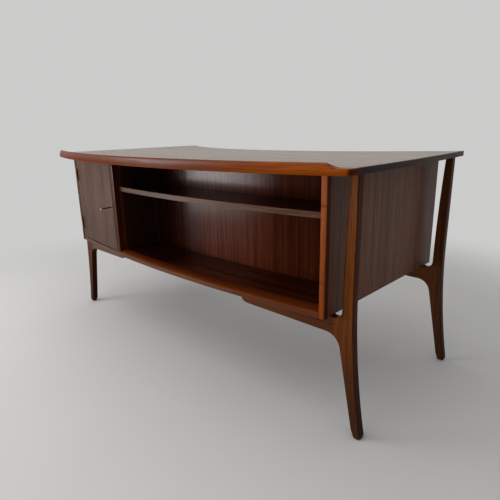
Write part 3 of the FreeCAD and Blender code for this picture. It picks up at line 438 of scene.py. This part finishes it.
def stretched(tree, vector, along, across):
    """Coordinates measured in patches of a given length and width."""
    return vector_calc(tree, "MULTIPLY", vector, (1 / along, 1 / across, 1 / across)).outputs[0]


def clouds(tree, vector, detail, roughness=0.55):
    """Soft noise over the coordinates."""
    noise = add(tree, "ShaderNodeTexNoise",
                {"Vector": vector, "Scale": 1, "Detail": detail, "Roughness": roughness})
    return noise.outputs["Fac"]


def edge_wear_and_highlight(tree, radius):
    """The eased normal, and how close to a sharp edge the surface is."""
    eased = add(tree, "ShaderNodeBevel", {"Radius": radius}, samples=EDGE_SAMPLES).outputs["Normal"]
    true = add(tree, "ShaderNodeNewGeometry").outputs["Normal"]
    match = vector_calc(tree, "DOT_PRODUCT", eased, true).outputs["Value"]
    return eased, remap(tree, match, *EDGE_WEAR_AND_HIGHLIGHT)


def facing(tree, cover):
    """How squarely a face looks along a cover's axis, either way."""
    normal = split(tree, add(tree, "ShaderNodeTexCoord").outputs["Normal"])
    return remap(tree, calc(tree, "ABSOLUTE", normal[cover.axis]), cover.begins, cover.full)


def veining(tree, place, look, grain):
    """How far a wood turns to its light tone in pale streaks, and to its dark one in veins."""
    streaks = clouds(tree, stretched(tree, place, look.streak_length, look.streak_width), 4, roughness=0.6)
    ring_width = grain.ring_streaks * look.streak_width
    rings = clouds(tree, stretched(tree, place, look.streak_length, ring_width), 2)
    veins = calc(tree, "FRACT", calc(tree, "MULTIPLY", rings, grain.ring_veins))
    pale = remap(tree, streaks, *PALE_STREAKS, 0, look.figure)
    between = remap(tree, streaks, *DARK_STREAKS, 0, look.figure)
    return pale, calc(tree, "MULTIPLY", remap(tree, veins, *DARK_VEINS), between)


def figured(tree, veins, look):
    """A wood's three tones, laid out by pale and dark veining."""
    pale, dark = veins
    body = blend(tree, pale, opaque(look.middle), opaque(look.light))
    return blend(tree, dark, body, opaque(look.dark))


def knot(tree, place, settings, grain):
    """How much of a knot shows, at its height along the grain."""
    notches = clouds(tree, stretched(tree, place, grain.knot_patch, grain.knot_patch), 2)
    ragged = calc(tree, "MULTIPLY", calc(tree, "SUBTRACT", notches, NOISE_MIDDLE), settings.reach)
    height = calc(tree, "ADD", split(tree, place)["X"], ragged)
    distance = calc(tree, "ABSOLUTE", calc(tree, "SUBTRACT", height, settings.height))
    return remap(tree, distance, settings.reach, grain.knot_core * settings.reach, 0, grain.knot_depth)


def wood(name, look, grain, axis, knots=(), covers=(), shades=(), edging=(), polish=None, arris=None,
         bow=None):
    """Lacquered wood with veins, streaks, fibres and pores along one axis, and any knots across it.

    Covers come under the shades. Edging is a cover above them, which has its own wood's roughness."""
    material, tree, shader = blank_material(name)
    dark = opaque(look.dark)
    place = along_grain(tree, axis, look.wander, grain, bow)
    veins = veining(tree, place, look, grain)
    band_width = grain.band_streaks * look.streak_width
    bands = clouds(tree, stretched(tree, place, look.streak_length, band_width), 1)
    banded = remap(tree, bands, *DARK_BANDS, 0, grain.band_depth * look.figure)
    colour = blend(tree, banded, figured(tree, veins, look), dark)
    for settings in knots:
        colour = blend(tree, knot(tree, place, settings, grain), colour, dark)
    for cover in covers:
        colour = blend(tree, facing(tree, cover), colour, figured(tree, veins, cover.wood))
    along = dict(zip(GRAIN_AXES[axis], split(tree, place).values()))
    # Shades are painted shade: the wood darkens along an axis towards where less light falls
    for shade in shades:
        deepened = remap(tree, along[shade.axis], shade.start, shade.end, 0, shade.share)
        colour = blend(tree, deepened, colour, opaque((shade.wood or look).dark))

    fibres = clouds(tree, stretched(tree, place, grain.fibre_length, grain.fibre_width), 2)
    smooth, dull = look.roughness - grain.lacquer_smoother, look.roughness + grain.lacquer_duller
    matt = remap(tree, fibres, *DULL_FIBRES, smooth, dull)
    for cover in edging:
        covered = facing(tree, cover)
        colour = blend(tree, covered, colour, figured(tree, veins, cover.wood))
        matt = remap(tree, covered, 0, 1, matt, cover.wood.roughness)
    pores = clouds(tree, stretched(tree, place, grain.pore_length, grain.pore_width), 1)
    pores = remap(tree, pores, *OPEN_PORES)
    colour = blend(tree, remap(tree, fibres, *DARK_FIBRES, 0, grain.fibre_depth), colour, dark)
    colour = blend(tree, calc(tree, "MULTIPLY", pores, grain.pore_depth), colour, dark)

    # Edges turn towards the wood's light tone: wear, and a painted highlight along the arrises
    eased, edge = edge_wear_and_highlight(tree, arris or grain.arris)
    colour = blend(tree, calc(tree, "MULTIPLY", edge, grain.wear), colour, opaque(look.light))
    height = calc(tree, "SUBTRACT", calc(tree, "MULTIPLY", fibres, grain.fibre_rise), pores)
    bump = add(tree, "ShaderNodeBump", {"Height": height, "Distance": grain.relief,
                                        "Strength": grain.relief_strength, "Normal": eased})
    tree.links.new(colour, shader.inputs["Base Color"])
    tree.links.new(matt, shader.inputs["Roughness"])
    tree.links.new(bump.outputs["Normal"], shader.inputs["Normal"])
    shader.inputs["Specular IOR Level"].default_value = look.shine
    if polish:
        shine = remap(tree, along[polish.axis], polish.start, polish.end,
                      polish.start_shine, polish.end_shine)
        tree.links.new(shine, shader.inputs["Specular IOR Level"])
    return material


def metal(name, metals, bright, dull, roughness, rubbed_and_lit_span=None):
    """Metal with dull patches and polished edges.

    Given two places on Y, the metal goes from bright at the first to dull at the second: rubbed by fingers,
    with a painted highlight where bright and painted shade where dull."""
    material, tree, shader = blank_material(name)
    place = add(tree, "ShaderNodeTexCoord").outputs["Object"]
    patches = clouds(tree, stretched(tree, place, metals.cloud, metals.cloud), 4, roughness=0.65)
    scratches = clouds(tree, stretched(tree, place, metals.cloud, metals.scratch_width), 2)
    stained = remap(tree, patches, *STAINED_METAL)
    if rubbed_and_lit_span:
        left_over = calc(tree, "MULTIPLY", stained, metals.key_stain)
        stained = calc(tree, "MAXIMUM", left_over, remap(tree, split(tree, place)["Y"], *rubbed_and_lit_span))
    colour = blend(tree, stained, opaque(bright), opaque(dull))
    eased, edge = edge_wear_and_highlight(tree, metals.edge_radius)
    colour = blend(tree, calc(tree, "MULTIPLY", edge, metals.edge_polish), colour, opaque(bright))
    matt = remap(tree, patches, *DULL_METAL, roughness - metals.smoother, roughness + metals.duller)
    bump = add(tree, "ShaderNodeBump", {"Height": scratches, "Distance": metals.scratch_depth,
                                        "Strength": metals.scratch_strength, "Normal": eased})
    tree.links.new(colour, shader.inputs["Base Color"])
    tree.links.new(matt, shader.inputs["Roughness"])
    tree.links.new(bump.outputs["Normal"], shader.inputs["Normal"])
    shader.inputs["Metallic"].default_value = 1
    return material


def dress(material, *names):
    """Gives CAD nodes a material in place of their plain one."""
    for name in names:
        NODES[name].data.materials.clear()
        NODES[name].data.materials.append(material)


def shared(name, make):
    """A material by name, made when it is first asked for."""
    return bpy.data.materials.get(name) or make(name)


def brass(desk):
    """The brass of lock and pins."""
    metals = desk.metals
    return shared("handled_brass", lambda name: metal(
        name, metals, metals.brass, metals.tarnish, metals.brass_roughness))


def aged_brass(desk):
    """The brass of the hinges, brown with age and darkened further as painted shade."""
    metals = desk.metals
    return shared("aged_brass", lambda name: metal(
        name, metals, metals.tarnish, metals.patina, metals.brass_roughness))


class DESK_OT_top(bpy.types.Operator):
    """Finish the writing surface, its raised lip and its edging"""
    bl_idname = "desk.top"
    bl_label = "Top"

    def execute(self, context):
        desk = context.scene.desk
        grain = desk.grain
        dress(wood("top_veneer", desk.top, grain, "X"), "top_panel")
        # The lip darkens towards its left end and towards its underside: painted shade, where less light
        # falls. Its ends take the back's dark tones, for end grain and painted shade.
        leftward = Shade("X", start=0.68, end=0.25, share=0.95)
        downward = Shade("Z", start=0.737, end=0.717, share=0.6)
        crest = Polish("Z", start=0.73, end=0.751, start_shine=0.012, end_shine=0.1)
        dress(wood("lip_wood", desk.edge, grain, "X", covers=[Cover(desk.back, "X")],
                   shades=[leftward, downward], polish=crest, arris=grain.lip_arris, bow=grain.top_bow),
              "front_lip")
        dress(wood("rear_edging_wood", desk.edge, grain, "X", covers=[Cover(desk.side, "X")],
                   bow=grain.drawer_bow), "rear_edging")
        # The end edging darkens towards the visitor side: painted shade
        forward = Shade("Y", start=0.5, end=-0.3, share=0.9)
        dress(wood("end_edging_wood", desk.door, grain, "Y", shades=[forward]),
              *(f"{side}_end_edging" for side in SIDES))
        return {"FINISHED"}


class DESK_OT_legs(bpy.types.Operator):
    """Finish the legs and the rails under the carcass"""
    bl_idname = "desk.legs"
    bl_label = "Legs and rails"

    def execute(self, context):
        desk = context.scene.desk
        grain = desk.grain
        # The legs darken towards the feet, the rear and the left, and their sides take the back's dark tones:
        # painted shade, where less light falls
        feet = Shade("Z", start=0.45, end=0, share=0.8, wood=desk.door)
        backward = Shade("Y", start=0, end=0.3, share=0.45, wood=desk.door)
        leftward = Shade("X", start=0.4, end=-0.5, share=0.6)
        dress(wood("leg_wood", desk.leg, grain, "Z", covers=[Cover(desk.back, "X")],
                   shades=[feet, backward, leftward]),
              *(f"{side}_{end}_leg" for side in SIDES for end in ENDS))
        downward = Shade("Z", start=0.5, end=0.35, share=0.45, wood=desk.door)
        dress(wood("rail_wood", desk.leg, grain, "X", shades=[downward]),
              *(f"right_{end}_rail" for end in ENDS))
        # The left rails take the door's darker, duller wood where the right rails have the leg wood: painted
        # shade
        dress(wood("left_rail_wood", desk.door, grain, "X"), *(f"left_{end}_rail" for end in ENDS))
        metals = desk.metals
        dress(metal("screw_steel", metals, metals.steel, metals.steel_stain, metals.steel_roughness),
              "rail_screws")
        dress(wood("dowel_wood", desk.lining, grain, "Z"), "arm_dowels")
        return {"FINISHED"}


class DESK_OT_carcass(bpy.types.Operator):
    """Finish the ends, partitions, bottoms, stiles and bookcase"""
    bl_idname = "desk.carcass"
    bl_label = "Carcass and bookcase"

    def execute(self, context):
        desk = context.scene.desk
        self.finish_panels(desk, desk.grain)
        self.finish_bookcase(desk, desk.grain)
        self.finish_solid_wood(desk, desk.grain)
        dress(brass(desk), "shelf_pins", "strike_plate")
        return {"FINISHED"}

    def finish_panels(self, desk, grain):
        """The ends, and the partitions, which deepen towards the visitor side as painted shade inside the
        bookcase.
        """
        dress(wood("side_veneer", desk.side, grain, "Z"), *(f"{side}_side_panel" for side in SIDES))
        in_bookcase = Shade("Y", start=-0.1, end=-0.16, share=0.84, wood=desk.back)
        dress(wood("partition_veneer", desk.side, grain, "Z", shades=[in_bookcase]),
              *(f"{side}_partition" for side in SIDES))

    def finish_bookcase(self, desk, grain):
        """The back, shelf and bottoms, which deepen to both ends as painted shade."""
        # Both ends of the bookcase are darkened: painted shade
        rightward = Shade("X", start=0.28, end=0.48, share=0.5)
        back_leftward = Shade("X", start=0.09, end=-0.12, share=0.84)
        duller_rightward = Polish("X", start=0.14, end=0.42, start_shine=0.072, end_shine=0.008)
        dress(wood("back_veneer", desk.back, grain, "Z", shades=[back_leftward, rightward],
                   polish=duller_rightward), "bookcase_back", "cabinet_back")
        shelf_leftward = Shade("X", start=0.17, end=-0.06, share=0.82)
        dress(wood("shelf_veneer", desk.back, grain, "X", shades=[shelf_leftward, rightward],
                   edging=[Cover(desk.door, "Y")], bow=grain.carcass_bow),
              "bookcase_shelf", "bookcase_bottom", "left_pedestal_bottom", "right_pedestal_bottom")

    def finish_solid_wood(self, desk, grain):
        """The edging of the bottom, the sill and the stiles."""
        # The bottom edging darkens towards the right and its level faces take the back's dark tones: painted
        # shade inside the bookcase. Its front faces take the door's tones.
        rightward = Shade("X", start=-0.1, end=0.6, share=0.5)
        level_faces = Cover(desk.back, "Z", begins=0.86, full=0.98)
        dress(wood("bottom_edging_wood", desk.edge, grain, "X", covers=[Cover(desk.door, "Y"), level_faces],
                   shades=[rightward], bow=grain.carcass_bow), "bottom_edging")
        dress(wood("sill_wood", desk.door, grain, "X", bow=grain.carcass_bow), "door_sill")
        knots = [Knot(height=0.645, reach=0.006), Knot(height=0.446, reach=0.003)]
        # The right stile darkens lower down and towards its outer face: painted shade. Its outer faces take
        # the side veneer's tones.
        downward = Shade("Z", start=0.66, end=0.4, share=0.5)
        outward = Shade("X", start=0.67, end=0.677, share=0.7, wood=desk.back)
        dress(wood("stile_wood", desk.edge, grain, "Z", knots=knots, covers=[Cover(desk.side, "X")],
                   shades=[downward, outward]), "right_stile")
        # The left stile takes the divider's dark wood where the right stile has the edge wood: painted shade
        dress(wood("divider_wood", desk.back, grain, "Z"), "divider_stile", "left_stile")


class DESK_OT_door(bpy.types.Operator):
    """Finish the cabinet door, its hinges, lock and key"""
    bl_idname = "desk.door"
    bl_label = "Cabinet door"

    def execute(self, context):
        desk = context.scene.desk
        metals = desk.metals
        # The door darkens towards its foot: painted shade
        downward = Shade("Z", start=0.6, end=0.42, share=0.4)
        dress(wood("door_veneer", desk.door, desk.grain, "Z", shades=[downward]), "door_panel")
        # The hinges and escutcheon are brass darkened with age and with painted shade
        dress(aged_brass(desk), "hinge_frame_leaves", "hinge_door_leaves", "hinge_pins", "lock_escutcheon")
        # The key's bow is bright and its stem dull: wear from fingers, a painted highlight on the bow and
        # painted shade on the stem
        bow_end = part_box("door_key")[0].y
        dress(metal("key_brass", metals, metals.key_rubbed, metals.patina, metals.brass_roughness,
                    rubbed_and_lit_span=(bow_end + metals.key_bow, bow_end + metals.key_stem)), "door_key")
        dress(brass(desk), "lock_case", "lock_bolt")
        return {"FINISHED"}


class DESK_OT_drawers(bpy.types.Operator):
    """Finish the drawer fronts, boxes and runners"""
    bl_idname = "desk.drawers"
    bl_label = "Drawers"

    def execute(self, context):
        desk = context.scene.desk
        grain = desk.grain
        dress(wood("drawer_front_veneer", desk.front, grain, "X", bow=grain.drawer_bow),
              *(f"{drawer}_front" for drawer in DRAWERS))
        dress(wood("drawer_box_wood", desk.lining, grain, "Y"),
              *(f"{drawer}_box" for drawer in DRAWERS), *(f"{side}_runners" for side in SIDES))
        dress(wood("drawer_bottom_wood", desk.lining, grain, "X"),
              *(f"{drawer}_bottom" for drawer in DRAWERS))
        return {"FINISHED"}


def finished(mesh, name, material):
    """The object of a mesh that is built, with its material, in the scene."""
    data = bpy.data.meshes.new(name)
    mesh.to_mesh(data)
    mesh.free()
    data.materials.append(material)
    piece = bpy.data.objects.new(name, data)
    bpy.context.scene.collection.objects.link(piece)
    return piece


def screw_head(mesh, place, outward, fittings):
    """A countersunk head with a slot, all but flush with its leaf."""
    verts = bmesh.ops.create_circle(
        mesh, cap_ends=True, radius=fittings.screw_radius, segments=SCREW_SIDES)["verts"]
    half = fittings.screw_slot / 2
    for side in (-1, 1):
        around = list({item for vert in verts for item in (vert, *vert.link_edges, *vert.link_faces)})
        cut = bmesh.ops.bisect_plane(mesh, geom=around, plane_co=(side * half, 0, 0), plane_no=(side, 0, 0))
        verts += [item for item in cut["geom_cut"] if isinstance(item, bmesh.types.BMVert)]
    faces = {face for vert in verts for face in vert.link_faces}
    slot = [face for face in faces if abs(face.calc_center_median().x) < half / 2]
    sunk = bmesh.ops.extrude_face_region(mesh, geom=slot)["geom"]
    floor = [item for item in sunk if isinstance(item, bmesh.types.BMVert)]
    bmesh.ops.delete(mesh, geom=slot, context="FACES_ONLY")
    bmesh.ops.translate(mesh, verts=floor, vec=(0, 0, -fittings.screw_depth))
    stand = Matrix.Translation(place) @ outward.to_track_quat("Z", "Y").to_matrix().to_4x4()
    bmesh.ops.transform(mesh, matrix=stand, verts=list({*verts, *floor}))


def hinge_halves(node):
    """The lowest and highest corner of each hinge in a node that holds an upper and a lower one."""
    points = [vert.co for vert in NODES[node].data.vertices]
    middle = (min(p.z for p in points) + max(p.z for p in points)) / 2
    for group in ([p for p in points if p.z < middle], [p for p in points if p.z > middle]):
        yield Vector(map(min, *group)), Vector(map(max, *group))


class DESK_OT_hinge_screws(bpy.types.Operator):
    """Add the slotted screws that hold the hinge leaves"""
    bl_idname = "desk.hinge_screws"
    bl_label = "Hinge screws"

    def execute(self, context):
        desk = context.scene.desk
        fittings = desk.fittings
        stile_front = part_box("left_stile")[0].y
        leaf_start = stile_front + fittings.knuckle_reach
        for node, body, outward in (("hinge_frame_leaves", "desk", Vector((1, 0, 0))),
                                    ("hinge_door_leaves", "cabinet_door", Vector((-1, 0, 0)))):
            mesh = bmesh.new()
            for low, high in hinge_halves(node):
                leaf = [vert.co.x for vert in NODES[node].data.vertices
                        if vert.co.y > leaf_start and low.z <= vert.co.z <= high.z]
                face = max(leaf) if outward.x > 0 else min(leaf)
                depth = (stile_front + high.y) / 2
                for step in (-1, 0, 1):
                    place = Vector((face + outward.x * fittings.screw_proud,
                                    depth + fittings.screw_stagger * abs(step),
                                    (low.z + high.z) / 2 + step * fittings.screw_spacing))
                    screw_head(mesh, place, outward, fittings)
            screws = finished(mesh, node.replace("leaves", "screws"), aged_brass(desk))
            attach(screws, body)
        return {"FINISHED"}


def dovetail(mesh, x, outward, y, z, heights):
    """A flat end of a joint on a face across X, as high at each end of its run along Y as given."""
    corners = [(place, z + side * height / 2)
               for place, height, sides in zip(y, heights, ((-1, 1), (1, -1))) for side in sides]
    rings = [[mesh.verts.new((level, *corner)) for corner in corners] for level in (x, x + outward)]
    for ring in rings:
        mesh.faces.new(ring)
    for index, start in enumerate(rings[0]):
        after = (index + 1) % len(corners)
        mesh.faces.new((start, rings[0][after], rings[1][after], rings[1][index]))


def tail_starts(drawer, reach):
    """Where the tails show on the left and right end of a drawer's front: X, and where they start on Y."""
    points = [vert.co for vert in NODES[f"{drawer}_front"].data.vertices]
    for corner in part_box(f"{drawer}_front"):
        yield corner.x, min(p.y for p in points if abs(p.x - corner.x) < reach)


def pin_starts(drawer):
    """Where the pins show on the left and right side of a drawer's box: X, and where they start on Y."""
    low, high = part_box(f"{drawer}_box")
    for corner in (low, high):
        yield corner.x, low.y


class DESK_OT_dovetails(bpy.types.Operator):
    """Add the dovetails that join each drawer's sides to its front and back"""
    bl_idname = "desk.dovetails"
    bl_label = "Drawer dovetails"

    def execute(self, context):
        desk = context.scene.desk
        fittings = desk.fittings
        proud = fittings.tail_proud
        heights = (fittings.tail_neck, fittings.tail_neck + fittings.tail_flare)
        tail_wood = bpy.data.materials["drawer_box_wood"]
        pin_wood = wood("pin_end_grain", desk.lining, desk.grain, "X")
        for drawer in DRAWERS:
            low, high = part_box(f"{drawer}_box")
            spacing = (high.z - low.z) / fittings.tail_count
            for name, material, starts in (("tails", tail_wood, tail_starts(drawer, proud)),
                                           ("pins", pin_wood, pin_starts(drawer))):
                mesh = bmesh.new()
                for (x, start), outward in zip(starts, (-proud, proud)):
                    for index in range(fittings.tail_count):
                        middle = low.z + spacing * (index + 0.5)
                        dovetail(mesh, x, outward, (start, start + fittings.tail_length), middle, heights)
                bmesh.ops.recalc_face_normals(mesh, faces=mesh.faces)
                piece = finished(mesh, f"{drawer}_{name}", material)
                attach(piece, drawer)
        return {"FINISHED"}


def area_lamp(stage, name):
    """One of the stage's flat lamps, pointed at the desk."""
    lamp = bpy.data.lights.new(f"{name}_light", "AREA")
    lamp.energy = getattr(stage, f"{name}_power")
    lamp.shape = "RECTANGLE"
    lamp.size = getattr(stage, f"{name}_width")
    lamp.size_y = getattr(stage, f"{name}_height")
    holder = bpy.data.objects.new(f"{name}_light", lamp)
    place = Vector(getattr(stage, f"{name}_place"))
    holder.location = place
    holder.rotation_euler = (Vector(stage.aim) - place).to_track_quat("-Z", "Y").to_euler()
    bpy.context.scene.collection.objects.link(holder)


def seen_plainly(tree):
    """Whether the camera, a mirror or a clear piece looks at the surface, and no matt piece is lit by it."""
    path = add(tree, "ShaderNodeLightPath").outputs
    mirrored = calc(tree, "MAXIMUM", path["Is Glossy Ray"], path["Is Transmission Ray"])
    return calc(tree, "MAXIMUM", path["Is Camera Ray"], mirrored)


def floor_paint(stage):
    """Matt paint, a little mottled, which turns into the backdrop away from the desk."""
    material, tree, shader = blank_material("floor_paint")
    place = add(tree, "ShaderNodeTexCoord").outputs["Object"]
    mottle = clouds(tree, stretched(tree, place, stage.floor_patch, stage.floor_patch), 4)
    colour = blend(tree, mottle, opaque(stage.floor), opaque(stage.floor_pale))
    tree.links.new(colour, shader.inputs["Base Color"])
    shader.inputs["Roughness"].default_value = stage.floor_roughness
    shader.inputs["Specular IOR Level"].default_value = stage.floor_shine
    away = vector_calc(tree, "LENGTH", place).outputs["Value"]
    swept = remap(tree, away, stage.sweep_start, stage.sweep_end)
    glow = add(tree, "ShaderNodeEmission", {"Color": opaque(stage.backdrop)})
    mix = add(tree, "ShaderNodeMixShader", {0: calc(tree, "MULTIPLY", swept, seen_plainly(tree)),
                                            1: shader.outputs[0], 2: glow.outputs[0]})
    tree.links.new(mix.outputs[0], tree.nodes["Material Output"].inputs["Surface"])
    return material


def studio_floor(stage):
    """A wide pale floor."""
    mesh = bmesh.new()
    bmesh.ops.create_grid(mesh, x_segments=1, y_segments=1, size=stage.floor_size / 2)
    floor = finished(mesh, "studio_floor", floor_paint(stage))


def studio_world(stage):
    """Even light from all around, which mirrors and the camera see in tones of their own."""
    world = bpy.data.worlds.new("studio_world")
    world.use_nodes = True
    tree = world.node_tree
    tree.nodes.clear()
    path = add(tree, "ShaderNodeLightPath").outputs
    rightward = split(tree, add(tree, "ShaderNodeTexCoord").outputs["Generated"])["X"]
    mirrored = remap(tree, rightward, *MIRROR_SPAN, stage.mirror_left, stage.mirror_right)
    lit = add(tree, "ShaderNodeBackground", {"Color": WHITE, "Strength": stage.sky})
    gloss = add(tree, "ShaderNodeBackground", {"Color": WHITE, "Strength": mirrored})
    shown = add(tree, "ShaderNodeBackground", {"Color": opaque(stage.backdrop), "Strength": 1})
    light = add(tree, "ShaderNodeMixShader",
                {0: path["Is Glossy Ray"], 1: lit.outputs[0], 2: gloss.outputs[0]})
    surface = add(tree, "ShaderNodeMixShader",
                  {0: path["Is Camera Ray"], 1: light.outputs[0], 2: shown.outputs[0]})
    add(tree, "ShaderNodeOutputWorld", {"Surface": surface.outputs[0]})
    return world


def camera(stage):
    """The camera that sees the desk as the photograph does."""
    yaw, pitch, roll = stage.yaw, stage.pitch, stage.roll
    ahead = Vector((math.sin(yaw) * math.cos(pitch), math.cos(yaw) * math.cos(pitch), -math.sin(pitch)))
    level = Vector((math.cos(yaw), -math.sin(yaw), 0))
    upright = level.cross(ahead)
    right = level * math.cos(roll) + upright * math.sin(roll)
    up = upright * math.cos(roll) - level * math.sin(roll)
    data = bpy.data.cameras.new("studio_camera")
    data.lens = stage.lens
    holder = bpy.data.objects.new("studio_camera", data)
    turned = Matrix((right, up, -ahead)).transposed()
    holder.matrix_world = Matrix.Translation(stage.eye) @ turned.to_4x4()
    bpy.context.scene.collection.objects.link(holder)
    bpy.context.scene.camera = holder


class DESK_OT_stage(bpy.types.Operator):
    """Set up the floor, the soft light and the camera"""
    bl_idname = "desk.stage"
    bl_label = "Stage"

    def execute(self, context):
        stage = context.scene.desk.stage
        studio_floor(stage)
        for lamp in ("window", "front", "overhead"):
            area_lamp(stage, lamp)
        context.scene.world = studio_world(stage)
        context.scene.view_settings.view_transform = "Standard"
        camera(stage)
        return {"FINISHED"}


class DESK_PT_finishes(bpy.types.Panel):
    """Buttons and settings of the desk"""
    bl_idname = "DESK_PT_finishes"
    bl_label = "Executive Desk"
    bl_space_type = "VIEW_3D"
    bl_region_type = "UI"
    bl_category = "Desk"

    def draw(self, context):
        for step in STEPS:
            self.layout.operator(step.bl_idname)
        for group in DeskSettings.__annotations__:
            box = self.layout.box()
            settings = getattr(context.scene.desk, group)
            box.label(text=DeskSettings.bl_rna.properties[group].name)
            for name in type(settings).__annotations__:
                box.prop(settings, name)


GROUPS = (DeskTopWood, DeskSideWood, DeskDoorWood, DeskBackWood, DeskEdgeWood, DeskLegWood, DeskFrontWood,
          DeskLiningWood, DeskGrain, DeskMetals, DeskFittings, DeskStage, DeskSettings)
STEPS = (DESK_OT_top, DESK_OT_legs, DESK_OT_carcass, DESK_OT_door, DESK_OT_drawers, DESK_OT_hinge_screws,
         DESK_OT_dovetails, DESK_OT_stage)


def register():
    for cls in (*GROUPS, *STEPS, DESK_PT_finishes):
        bpy.utils.register_class(cls)
    bpy.types.Scene.desk = bpy.props.PointerProperty(
        type=DeskSettings, name="Desk", description="Finishes and stage of the desk")


def unregister():
    del bpy.types.Scene.desk
    for cls in reversed((*GROUPS, *STEPS, DESK_PT_finishes)):
        bpy.utils.unregister_class(cls)


def main():
    """Builds the finished desk and its stage."""
    register()
    bpy.ops.desk.top()
    bpy.ops.desk.legs()
    bpy.ops.desk.carcass()
    bpy.ops.desk.door()
    bpy.ops.desk.drawers()
    bpy.ops.desk.hinge_screws()
    bpy.ops.desk.dovetails()
    bpy.ops.desk.stage()


if __name__ == "__main__":
    main()
